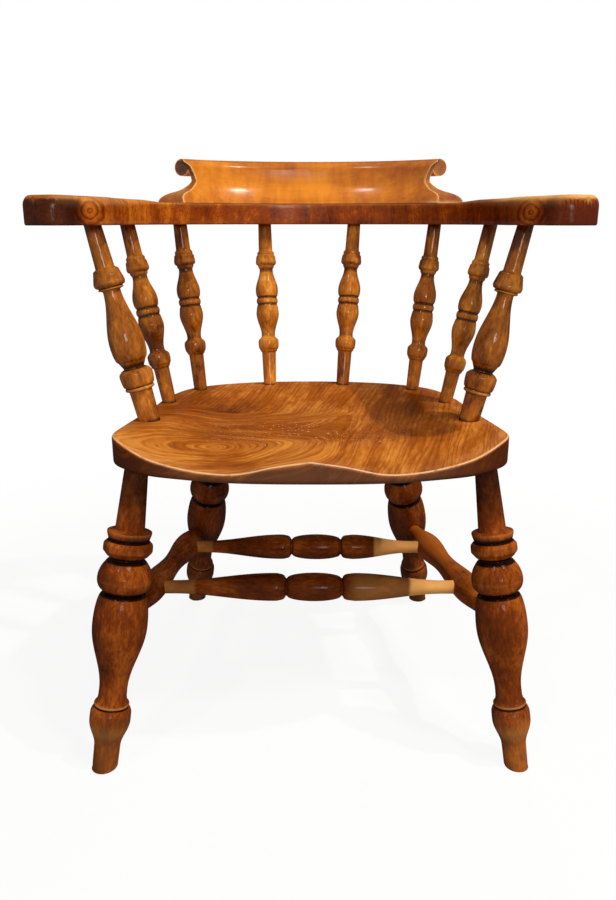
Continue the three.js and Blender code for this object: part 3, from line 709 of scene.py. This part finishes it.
crest_wood = wood(
    "crest_wood", (231, 140, 26), (198, 110, 14), (144, 62, 6), (26, 9, 3), (252, 204, 132),
    ring=0.009, swirl=0.012, figure=0.06, fibre=0.05, streak=0.08, blotch=0.22, mottle=0.03, pores=0.05,
    curl=0.18, coat=0.14, coat_rough=0.18, wear=0.8,
)
seat_wood = wood(
    "seat_wood", (226, 146, 60), (165, 87, 24), (96, 38, 8), (58, 34, 17), (250, 212, 166),
    ring=0.006, swirl=0.014, drifting=26, figure=0.19, fibre=0.03, streak=0.03, blotch=0.24,
    blotch_scale=32, mottle=0.1, pores=0.4, coat_rough=0.25, wear=0.8, relief=0.35, flecks=True,
)
dowel_wood = wood(
    "dowel_wood", (214, 180, 132), (192, 154, 106), (150, 112, 70), (60, 36, 18), (224, 192, 150),
    swirl=0.006, coat=0,
)


def steel():
    g = Graph(bpy.data.materials.new("steel"))
    spots = g.noise(g.field("grain", 1), 900, 4, 0.65)
    colour = g.mix(g.ramped(spots, 0.45, 0.7), tone(150, 146, 140), tone(84, 58, 40))
    return g.finish(g.node("ShaderNodeBsdfPrincipled", {
        "Base Color": colour, "Roughness": 0.42, "Metallic": 1.0,
    }))


steel_metal = steel()


# Seat

def saddle_depth(x, y, reach):
    dish = SEAT_DISH * (1 - smoothstep(reach, DISH_START_SHARE, DISH_END_SHARE))
    worn = 1 - smoothstep((y + SEAT_FRONT) / (SEAT_DEPTH * SADDLE_REACH_SHARE), 0, 1)
    drop = smooth_lookup(FRONT_DROP_SHARES, np.abs(x) / SEAT_HALF_WIDTH) * SEAT_THICKNESS
    return lerp(dish, drop, worn)


def seat_grain(points):
    """The plank's grain runs from front to back, but loops round the left thigh's hollow."""
    x, y, z = points.T
    loops = np.hypot((y + 92) * 1.3, np.where(x < -120, 0.35, 0.6) * (x + 120))
    plain = 0.8 * x - 0.16 * y + 60
    open_wood = np.maximum(smoothstep(x, -60, 70), smoothstep(y, -20, 90))
    depth = SEAT_HEIGHT - z
    along = lerp(x * 0.55 + 0.2 * y, 0.6 * y + 0.12 * x, open_wood)
    return np.column_stack([lerp(loops, plain, open_wood) + depth * 0.4, depth * 0.2, along + 260])


SEAT_POINTS = 288  # round the edge
SEAT_ROUND_STEPS = 7
SEAT_TOP_RINGS = 60
SEAT_TOP_REACH = 0.985
UNDERSIDE_SHADE, UNDERSIDE_CAST = 0.35, 0.4
EDGE_SHADE, EDGE_CAST = 0.24, 0.36
SEAT_DARK_PATCHES_AND_SHADOW = [  # darker places on the top: middle, stretch, reach and depth; the one on the right is the painted shadow of the right arm
    (-150, 95, 1.3, 62, 0.3), (120, 70, 1.2, 50, 0.2), (0, -15, 1.4, 62, 0.1),
]


def make_seat():
    """The plank as rings: over the underside, up the edge and then inwards over the top."""
    edge = seat_curve.at(np.arange(SEAT_POINTS) / SEAT_POINTS)
    middle = np.array([0, (SEAT_BACK - SEAT_FRONT) / 2])
    out = edge - middle
    reach = np.linalg.norm(out, axis=1)
    rings, values = [], []

    def ring(share, level, worn=0.0, shade=0.0, cast=0.0):
        """A ring at a share of the way from the middle to the edge; level may depend on x and y."""
        flat = middle + out * np.reshape(share, (-1, 1))
        height = level(*flat.T) if callable(level) else np.full(SEAT_POINTS, level)
        rings.append(np.column_stack([flat, height]))
        values.append((worn, shade, cast))

    def rim(x, y):
        return SEAT_HEIGHT - saddle_depth(x, y, 1)

    for share in (0.1, 0.3, 0.5, 0.7, 0.85, 0.94):
        ring(share, SEAT_UNDERSIDE, shade=UNDERSIDE_SHADE, cast=UNDERSIDE_CAST)
    for i in range(SEAT_ROUND_STEPS + 1):
        angle = i / SEAT_ROUND_STEPS * math.pi / 2
        inset = SEAT_BOTTOM_ROUND * (1 - math.sin(angle))
        level = SEAT_UNDERSIDE + SEAT_BOTTOM_ROUND * (1 - math.cos(angle))
        shade = EDGE_SHADE + 0.1 * (1 - i / SEAT_ROUND_STEPS)
        ring(1 - inset / reach, level, shade=shade, cast=UNDERSIDE_CAST)
    low = SEAT_UNDERSIDE + SEAT_BOTTOM_ROUND
    for up in (0.2, 0.4, 0.6, 0.8):
        ring(1, lambda x, y: lerp(low, rim(x, y) - SEAT_TOP_ROUND, up), shade=EDGE_SHADE, cast=EDGE_CAST)
    for i in range(SEAT_ROUND_STEPS + 1):
        over = i / SEAT_ROUND_STEPS
        angle = over * math.pi / 2
        inset = SEAT_TOP_ROUND * (1 - math.cos(angle))
        below = SEAT_TOP_ROUND * (1 - math.sin(angle))
        dark = (1 - over) ** 2
        ring(
            1 - inset / reach, lambda x, y: rim(x, y) - below,
            worn=bump(over, 0.57, 0.14), shade=EDGE_SHADE * dark, cast=EDGE_CAST * dark,
        )
    for i in range(1, SEAT_TOP_RINGS + 1):
        share = 1 - i / SEAT_TOP_RINGS * SEAT_TOP_REACH
        scale = (1 - SEAT_TOP_ROUND / reach) * share
        near_rim = smoothstep(share, 0.9, 1.0)
        ring(
            scale, lambda x, y: lerp(SEAT_HEIGHT - saddle_depth(x, y, scale), rim(x, y), near_rim),
            worn=0.1 * math.exp(-i / 2),
        )
    points, faces = skin(rings)
    values = np.repeat(values, SEAT_POINTS, axis=0)
    worn, shade, cast = np.concatenate([values, values[-2:]]).T
    x, y, z = points.T

    def patch(across, back, stretch, size):
        return bump(np.hypot((x - across) / stretch, y - back), 0, size)

    # The front is more rubbed, and its edge is darker and less faded towards the corners
    front = smoothstep(-y, -20, 110)
    corner = smoothstep(np.abs(x), 120, 235)
    worn = np.clip(worn * (0.25 + 0.95 * front), 0, 1)
    cast = cast * (1.3 + 0.5 * corner * front)
    shade = shade * (1.4 + 0.4 * corner * front)
    paling_and_light = 0.08 * (cast > 0.25) * front * (1 - corner)
    upper = z > SEAT_UNDERSIDE + 20
    # Darker patches on the top; the right-hand one is a painted shadow of the right arm
    for *place, depth in SEAT_DARK_PATCHES_AND_SHADOW:
        cast = cast + depth * patch(*place) * upper
    # Painted light: the front of the top is lighter, less so on the right
    cast = cast - 0.12 * smoothstep(-y, 50, 120) * (1 - 0.8 * smoothstep(x, 60, 130)) * upper
    fields = {
        "grain": seat_grain(points) * MM, "comb": patch(-15, -15, 1.5, 75) * upper,
        "worn": worn, "shade": shade, "cast": cast, "paling_and_light": paling_and_light,
    }
    add_piece("seat", points, faces, seat_wood, fields, sharp=50)


make_seat()


# Legs and stretchers

def leg_axis(half, end):
    seat_share, inset_share, splay_share, rake_share, *_ = LEGS[half][end]
    top = seat_place(SIDES[half], seat_share, inset_share * SEAT_HALF_WIDTH, SEAT_UNDERSIDE)
    foot = top + np.array([SIDES[half] * splay_share, rake_share, 0]) * SEAT_HEIGHT
    return np.array([foot[0], foot[1], 0]), top


def on_axis(axis, height):
    foot, top = axis
    return lerp(foot, top, height / top[2])


RAIL_CASTS = {"left": 0.02, "right": -0.34}
LEG_SEED, SIDE_SEED, CROSS_SEED, UPRIGHT_SEED, DOWEL_SEED, SCREW_SEED = 40, 60, 70, 81, 110, 120


def leg_fade(share):
    """The rings above a foot are rubbed pale."""
    return 0.08 * (1 - smoothstep(share, 0.1, 0.24)) + 0.16 * bump(share, 0.132, 0.022)


rails = {}
for half in SIDES:
    axes = {end: leg_axis(half, end) for end in ("front", "rear")}
    for i, (end, (foot, top)) in enumerate(axes.items()):
        *_, girth, cast = LEGS[half][end]
        seed = LEG_SEED + SIDES[half] + 4 * i
        # head_shade paints the shade under the seat on the top of each leg
        turned(
            f"leg_{end}_{half}", foot, top, LEG_SHARES, LEG_RADIUS * girth, leg_wood, seed,
            sides=64, foot_shade=(0.3, 1.5), head_shade=(0.6, 46), cast=cast, pale_and_lit=leg_fade,
        )
    start = on_axis(axes["front"], STRETCHER_FRONT_HEIGHT)
    finish = on_axis(axes["rear"], STRETCHER_REAR_HEIGHT)
    rails[half] = (start, finish)
    inner = SIDE_TENON_INSET / np.linalg.norm(finish - start)
    shares = [(min(max(at, inner), 1 - inner), *rest) for at, *rest in SIDE_STRETCHER_SHARES]
    turned(
        f"side_stretcher_{half}", start, finish, shares, SIDE_STRETCHER_RADIUS, leg_wood,
        SIDE_SEED + SIDES[half], tenon=0, cast=RAIL_CASTS[half],
    )


CROSS_PAINTED_LIGHT = {  # painted light on the ends, where the lamps reach past the seat's shadow
    "front": lambda s: 0.22 * (s < 0.135) + 0.22 * smoothstep(s, 0.61, 0.66) + 0.68 * (s > 0.815),
    "rear": lambda s: 0.16 * (s < 0.115) + 0.58 * (s > 0.775),
}
for i, (end, shift) in enumerate(CROSS_SHIFTS.items()):
    start, finish = (lerp(*rails[half], CROSS_PLACE_SHARES[i]) for half in SIDES)
    length = np.linalg.norm(finish - start)
    inner, shoulder = CROSS_TENON_INSET / length, CROSS_SHOULDER / length
    shares = [
        (inner, CROSS_TENON_SHARE), (shoulder, CROSS_TENON_SHARE),
        *((0.5 + (shift + place) / length, *rest) for place, *rest in CROSS_PATTERN),
        (1 - shoulder, CROSS_TENON_SHARE, "swell"), (1 - inner, CROSS_TENON_SHARE),
    ]
    turned(
        f"cross_stretcher_{end}", start, finish, shares, CROSS_STRETCHER_RADIUS, leg_wood,
        CROSS_SEED + i, tenon=0, soil=0.4, cast=0.14, pale_and_lit=CROSS_PAINTED_LIGHT[end],
    )


# Posts and spindles

seed = UPRIGHT_SEED
for half, uprights in UPRIGHTS.items():
    for name, (seat_share, inset_share, bow_share, reach_share, girth, rise, cast) in uprights.items():
        post = name.startswith("arm_post")
        table, radius = (POST_SHARES, POST_RADIUS) if post else (SPINDLE_SHARES, SPINDLE_RADIUS)
        shares = [(at + rise if 0 < at < 1 else at, *rest) for at, *rest in table]
        start = seat_place(SIDES[half], seat_share, inset_share * SEAT_HALF_WIDTH, SEAT_HEIGHT)
        finish = bow_place(SIDES[half] * bow_share * BOW_LENGTH, reach_share * BOW_WIDTH, BOW_UNDERSIDE)
        # head_shade paints the bow's shadow, with some patina, on the top of each; foot_shade paints
        # shade where it stands in the seat
        turned(
            name, start, finish, shares, radius * girth, spindle_wood, seed, sides=56,
            foot_shade=(0.75, 2.2), head_shade=(0.42, 8), soil=0.7, cast=cast,
        )
        seed += 1


# Arm bow

BOW_STEPS = 110
NOSE_STEPS = 15
TOP_CORNER_STEPS, LOW_CORNER_STEPS = 7, 3


def bow_section(along):
    """The section of the bow at a place along it: across, height and how far each point is rubbed."""
    to_tip = BOW_LENGTH - along
    arm_part = smoothstep(along / BOW_LENGTH, POST_SHARE * ARM_START_SHARE, POST_SHARE)
    risen = (along - CREST_HALF_LENGTH - ARM_RISE_START) / ARM_RISE_LENGTH
    nose = min(to_tip / ARM_NOSE, 1)
    narrowed = (1 - (1 - nose) ** NOSE_SQUARENESS) ** (1 / NOSE_SQUARENESS)
    half = lerp(BOW_WIDTH, ARM_WIDTH, arm_part) / 2 * narrowed
    top_round = min(lerp(BOW_EDGE_ROUND, ARM_TOP_ROUND, arm_part), half)
    low_round = min(BOW_EDGE_ROUND, half)

    def turned_over(radius):
        near = min(to_tip, radius)
        return radius - math.sqrt(max(radius**2 - (radius - near) ** 2, 0))

    top = ARM_HEIGHT + ARM_RISE * float(smoothstep(risen, 0, 1)) - turned_over(top_round)
    low = BOW_UNDERSIDE + turned_over(low_round)
    points = []

    def corner(side, height, radius, start, steps, rubbed):
        for i in range(steps + 1):
            angle = (start + i / steps) * math.pi / 2
            wear = rubbed * math.sin(math.pi * (i + 0.5) / (steps + 1))
            across = side * (half - radius) + radius * math.cos(angle)
            points.append((across, height + radius * math.sin(angle), wear))

    sides = np.linspace(low + low_round, top - top_round, 7)[1:-1]
    corner(1, low + low_round, low_round, 3, LOW_CORNER_STEPS, 0.3)
    points.extend((half, level, 0) for level in sides)
    corner(1, top - top_round, top_round, 0, TOP_CORNER_STEPS, 0.5)
    points.extend((share * (half - top_round), top, 0.1) for share in np.linspace(0.75, -0.75, 7))
    corner(-1, top - top_round, top_round, 1, TOP_CORNER_STEPS, 0.7)
    points.extend((-half, level, 0) for level in sides[::-1])
    corner(-1, low + low_round, low_round, 2, LOW_CORNER_STEPS, 0.25)
    points.extend((share * (half - low_round), low, 0) for share in (-0.5, 0, 0.5))
    return points


KNOTS = {"left": (0.893, 17, 1.8), "right": (0.893, 15, 1.7)}  # place along the bow, level and size
KNOT_STRETCH = 1.6
ARM_GRAIN_LEANS = {"left": math.radians(-24), "right": math.radians(14)}
ARM_PITHS = {"left": (90, -40), "right": (-420, -60)}  # sideways and level
BOARD_SHIFT = 400  # the halves come from different parts of the board


def make_bow_half(half):
    side = SIDES[half]
    body = np.linspace(0, BOW_LENGTH - ARM_NOSE, BOW_STEPS, endpoint=False)
    turn = np.linspace(0, NOSE_END_SHARE, NOSE_STEPS) * math.pi / 2
    walk = np.concatenate([body, BOW_LENGTH - ARM_NOSE * (1 - np.sin(turn))])
    across, height, worn = np.array([bow_section(along) for along in walk]).transpose(2, 0, 1)
    rings = bow_place(walk[:, None], across, height)
    rings[0, :, 0] = 0
    rings[..., 0] *= side
    points, faces = skin(rings)
    walk = np.concatenate([np.repeat(walk, across.shape[1]), [0, BOW_LENGTH]])
    level = points[:, 2] - BOW_UNDERSIDE
    # The arms are sawn with the grain running forward, so it crosses the bow at the back
    lean = ARM_GRAIN_LEANS[half]
    forward = points[:, 1] * math.cos(lean) + points[:, 0] * math.sin(lean)
    sideways = points[:, 0] * math.cos(lean) - points[:, 1] * math.sin(lean)
    pith = ARM_PITHS[half]
    grain = np.column_stack([sideways - pith[0], level - pith[1], forward + BOARD_SHIFT * side])
    share, knot_level, size = KNOTS[half]
    past_knot = walk - share * BOW_LENGTH
    knot = np.column_stack([past_knot / KNOT_STRETCH, level - knot_level, np.zeros(len(walk))]) / size
    # The tip is darkened, the top of the arm faded, and the knot's surroundings stay light
    tip = smoothstep(walk, BOW_LENGTH - 62, BOW_LENGTH - 34)
    arm_top = smoothstep(walk, BOW_LENGTH - 200, BOW_LENGTH - 120) * smoothstep(level, 28, 31.5)
    front_face = np.concatenate([np.ravel(across < 0), [False, True]])
    if half == "left":
        cast = 0.4 * tip * (1 - 0.5 * arm_top) - 0.2 * bump(past_knot, 0, 26)
        cast += 0.16 * (1 - smoothstep(walk, 210, 300)) * front_face - 0.16 * bump(walk, 360, 60)
        comb_level, tip_shade, top_fade = 23, 0.58, 0.14
    else:
        # Painted shade darkens the whole right half; it is also darker towards the bottom and at the
        # lower tip
        cast = 0.18 + 0.3 * tip * smoothstep(26 - level, -4, 6) + 0.2 * smoothstep(14 - level, 0, 14)
        cast -= 0.5 * bump(past_knot, 0, 30)
        comb_level, tip_shade, top_fade = 25, 0.2, 0.85
    fields = {
        "grain": grain * MM, "knot": knot * MM, "cast": cast,
        "worn": np.concatenate([worn.ravel(), [0, 0]]) * smoothstep(BOW_LENGTH - walk, 3, 16),
        "paling_and_light": top_fade * arm_top, "shade": tip_shade * tip * (1 - arm_top),
        "comb": smoothstep(walk, BOW_LENGTH - 60, BOW_LENGTH - 25) * bump(level, comb_level, 6),
    }
    add_piece(f"arm_bow_{half}", points, faces, bow_wood, fields, sharp=40)


for half in SIDES:
    make_bow_half(half)


# Crest rail

FRONT_STEPS, SHOULDER_STEPS, ROLL_STEPS, REAR_STEPS, FOOT_STEPS = 30, 12, 34, 37, 9


def crest_outline():
    """The section of the crest rail as (across, height) points, and which of them lie on the roll."""
    roll_height = CREST_RISE - ROLL_RADIUS
    front, rear = (
        Curve(np.array(shares) * (BOW_WIDTH, CREST_RISE)).at(np.linspace(0, 1, steps))
        for shares, steps in ((CREST_FRONT_SHARES, FRONT_STEPS), (CREST_REAR_SHARES, REAR_STEPS))
    )
    shoulder_across, shoulder_height = front[-1]
    angle = np.arange(1, SHOULDER_STEPS) / SHOULDER_STEPS * math.pi / 2
    shoulder = np.column_stack([
        ROLL_SETBACK - (ROLL_SETBACK - shoulder_across) * np.cos(angle),
        shoulder_height + (CREST_RISE - shoulder_height) * np.sin(angle),
    ])
    angle = math.pi / 2 - np.linspace(0, ROLL_TURN, ROLL_STEPS)
    roll = (ROLL_SETBACK, roll_height) + ROLL_RADIUS * np.column_stack([np.cos(angle), np.sin(angle)])
    foot = np.linspace(rear[-1], front[0], FOOT_STEPS)[1:-1]
    points = np.concatenate([front, shoulder, roll, rear, foot])
    rolled = np.zeros(len(points))
    rolled[len(front) + len(shoulder):][:len(roll)] = 1
    return points, rolled


def crest_end(across, height, rolled):
    """How far from the middle the rail's ends are sawn off."""
    plain = CREST_END_SKEW_SHARE * across
    plain = plain - smooth_lookup(CREST_END_SHARES, height / CREST_RISE) * CREST_RISE
    on_roll = ROLL_END_SKEW_SHARE * (across - ROLL_SETBACK) - ROLL_END_SHARE * CREST_RISE
    return CREST_HALF_LENGTH + lerp(plain, on_roll, rolled)


CREST_STEPS = 120
CREST_CAP_GRID = 2.2
CREST_CAP_GAP = 1.2  # from the outline to the grid of points on a sawn end


def make_crest():
    outline, rolled = crest_outline()
    count = len(outline)
    ends = crest_end(outline[:, 0], outline[:, 1], rolled)
    walk = np.linspace(-1, 1, CREST_STEPS + 1)[:, None]
    rings = bow_place(walk * ends, outline[:, 0] - BOW_WIDTH / 2, CREST_FOOT + outline[:, 1])
    points, faces = skin(rings, caps=False)
    body = len(points)
    # The sawn ends, filled with points of their own
    low, high = outline.min(axis=0), outline.max(axis=0)
    columns, rows = (np.arange(*limits, CREST_CAP_GRID) for limits in zip(low, high))
    grid = [
        Vector((x, y)) for x in columns for y in rows
        if np.hypot(outline[:, 0] - x, outline[:, 1] - y).min() > CREST_CAP_GAP
    ]
    edges = [(i, (i + 1) % count) for i in range(count)]
    border = [Vector(p) for p in outline]
    flat, _, triangles, sources, _, _ = delaunay_2d_cdt(border + grid, edges, [], 1, 1e-5)
    owner = np.array([source[0] if source and source[0] < count else -1 for source in sources])
    own = owner < 0
    across, height = np.array([(p.x, p.y) for p in flat])[own].T
    from_roll = np.hypot(across - ROLL_SETBACK, height - CREST_RISE + ROLL_RADIUS)
    reach = crest_end(across, height, 1 - smoothstep(from_roll, ROLL_RADIUS - 1, ROLL_RADIUS + 2))
    for ring, side in ((0, -1), (CREST_STEPS, 1)):
        index = ring * count + owner
        index[own] = len(points) + np.arange(own.sum())
        cap_points = bow_place(side * reach, across - BOW_WIDTH / 2, CREST_FOOT + height)
        points = np.concatenate([points, cap_points])
        for corners in triangles:
            faces.append(tuple(int(index[k]) for k in corners[::side]))
    # Rubbed arrises along the front of the sawn ends
    total = len(points)
    x, _, z = points.T
    rise = z - CREST_FOOT
    cap = np.arange(total) >= body
    front = np.zeros(total, bool)
    front[:body] = np.tile(outline[:, 0] < ROLL_SETBACK, CREST_STEPS + 1)
    end_gap = np.full(total, np.inf)
    end_gap[:body] = ((1 - np.abs(walk)) * ends).ravel()
    worn = np.where(front, bump(end_gap, 0, 1.5), 0.3 * bump(end_gap, 0, 2))
    # A light patch beside the middle; painted shade darkens the right, the foot and the right-hand end,
    # and painted light lifts the left
    cast = -0.16 * smoothstep(x, -26, -20) * smoothstep(46 - x, 0, 6) * smoothstep(rise, 4, 20)
    cast += 0.14 * smoothstep(x, 40, 150) - 0.05 * smoothstep(-x, 60, 160)
    right_end, left_end = cap & (x > 0), cap & (x < 0)
    cast += 0.1 * smoothstep(14 - rise, 0, 10) + 0.22 * right_end
    # Painted shade on the sawn ends, darkest on the ball of the left-hand roll; darker lines along the
    # foot and along the upper edge
    ball = rise > CREST_RISE - 2 * ROLL_RADIUS
    shade = np.where(ball, 0.66, 0.42) * left_end + 0.3 * right_end
    shade += (0.4 * np.exp(-rise / 1.1) + 0.35 * bump(rise, CREST_RISE - 2, 2.2)) * front
    # The right-hand end is paler, and a painted highlight runs along the foot at the right-hand end
    paling_and_light = 0.15 * right_end * smoothstep(rise, 2, 30)
    paling_and_light += 0.7 * np.exp(-rise / 2.2) * smoothstep(x, 168, 186)
    fields = {
        "grain": np.column_stack([points[:, 1] + 260, rise + 60, x * 0.5 + 500]) * MM,
        "worn": worn, "shade": shade, "paling_and_light": paling_and_light, "cast": cast,
    }
    add_piece("crest_rail", points, faces, crest_wood, fields, sharp=48)


make_crest()


# Fastenings

for i, end in enumerate(("front", "rear")):
    back = BOW_BACK + (i - 0.5) * DOWEL_SPACING
    level = BOW_UNDERSIDE + BOW_THICKNESS / 2
    reach = DOWEL_LENGTH / 2
    turned(
        f"bow_dowel_{end}", (-reach, back, level), (reach, back, level), DOWEL_SHARES, DOWEL_RADIUS,
        dowel_wood, DOWEL_SEED + i, sides=24, tenon=0,
    )

for i, share in enumerate(SCREW_PLACE_SHARES):
    foot = bow_place(share * BOW_LENGTH, SCREW_SETBACK - BOW_WIDTH / 2, BOW_UNDERSIDE)
    length = BOW_THICKNESS + FIT + SCREW_REACH
    slim = SCREW_RADIUS / SCREW_HEAD_RADIUS
    rim, neck = SCREW_HEAD_RIM / length, SCREW_HEAD_DEPTH / length
    shares = [(0, 1), (rim, 1), (neck, slim), (SCREW_TAPER_SHARE, slim), (1, slim * SCREW_TIP_SHARE)]
    turned(
        f"crest_screw_{i + 1}", foot, foot + [0, 0, length], shares, SCREW_HEAD_RADIUS, steel_metal,
        SCREW_SEED + i, sides=32, tenon=0,
    )


# Floor, background and lamps

FLOOR_REACH = 8.0
FLOOR_BOUNCE = 0.22
FLOOR_COLOUR = 0.9
FLOOR_GLOW = 0.9  # near the chair; the rest shows the shadow
SKY_STRENGTH = 0.02
LAMP_COLOUR = (1, 0.97, 0.93)


def make_floor():
    mesh = bpy.data.meshes.new("floor")
    corners = [(-1, -1), (1, -1), (1, 1), (-1, 1)]
    mesh.from_pydata([(x * FLOOR_REACH, y * FLOOR_REACH, 0) for x, y in corners], [], [(0, 1, 2, 3)])
    g = Graph(bpy.data.materials.new("floor"))
    seen = g.seen()
    colour = g.mix(seen, grey(FLOOR_BOUNCE), grey(FLOOR_COLOUR))
    diffuse = g.node("ShaderNodeBsdfDiffuse", {"Color": colour})
    glow = g.node("ShaderNodeEmission", {"Color": grey(1), "Strength": 1.0})
    away = g.vector("LENGTH", g.node("ShaderNodeNewGeometry"), output=1)
    share = g.times(seen, g.ramped(away, 0.5, 1.5, FLOOR_GLOW, 1.0))
    mesh.materials.append(g.finish(g.node("ShaderNodeMixShader", {0: share, 1: diffuse, 2: glow})))
    floor = placed("floor", mesh)


def make_world():
    g = Graph(bpy.data.worlds.new("world"))
    dim = g.node("ShaderNodeBackground", {"Color": (1, 0.98, 0.96, 1), "Strength": SKY_STRENGTH})
    white = g.node("ShaderNodeBackground", {"Color": grey(1), "Strength": 1.0})
    mixed = g.node("ShaderNodeMixShader", {0: g.seen(), 1: dim, 2: white})
    scene.world = g.finish(mixed, "ShaderNodeOutputWorld")


LAMPS = {  # place, size, power and whether the varnish mirrors it
    "lamp_right": ((2.65, -2.4, 5.7), 0.75, 125, True),
    "lamp_side": ((3.0, -1.1, 5.7), 0.18, 175, False),
    "lamp_left": ((-1.95, -3.0, 5.7), 0.6, 72, True),
    "lamp_rear": ((0.5, 2.8, 1.0), 1.2, 30, False),
    "lamp_front": ((0.5, -3.3, 1.3), 0.8, 48, True),
}
LAMP_AIM = Vector((0, 0, 0.5))


def add_lamp(name, place, size, power, mirrored):
    data = bpy.data.lights.new(name, "AREA")
    data.shape = "DISK"
    data.size = size
    data.energy = power
    data.color = LAMP_COLOUR
    lamp = placed(name, data)
    lamp.location = place
    lamp.rotation_euler = (LAMP_AIM - Vector(place)).to_track_quat("-Z", "Y").to_euler()
    lamp.visible_glossy = mirrored


make_floor()
make_world()
for name, lamp in LAMPS.items():
    add_lamp(name, *lamp)

scene.view_settings.view_transform = "Standard"
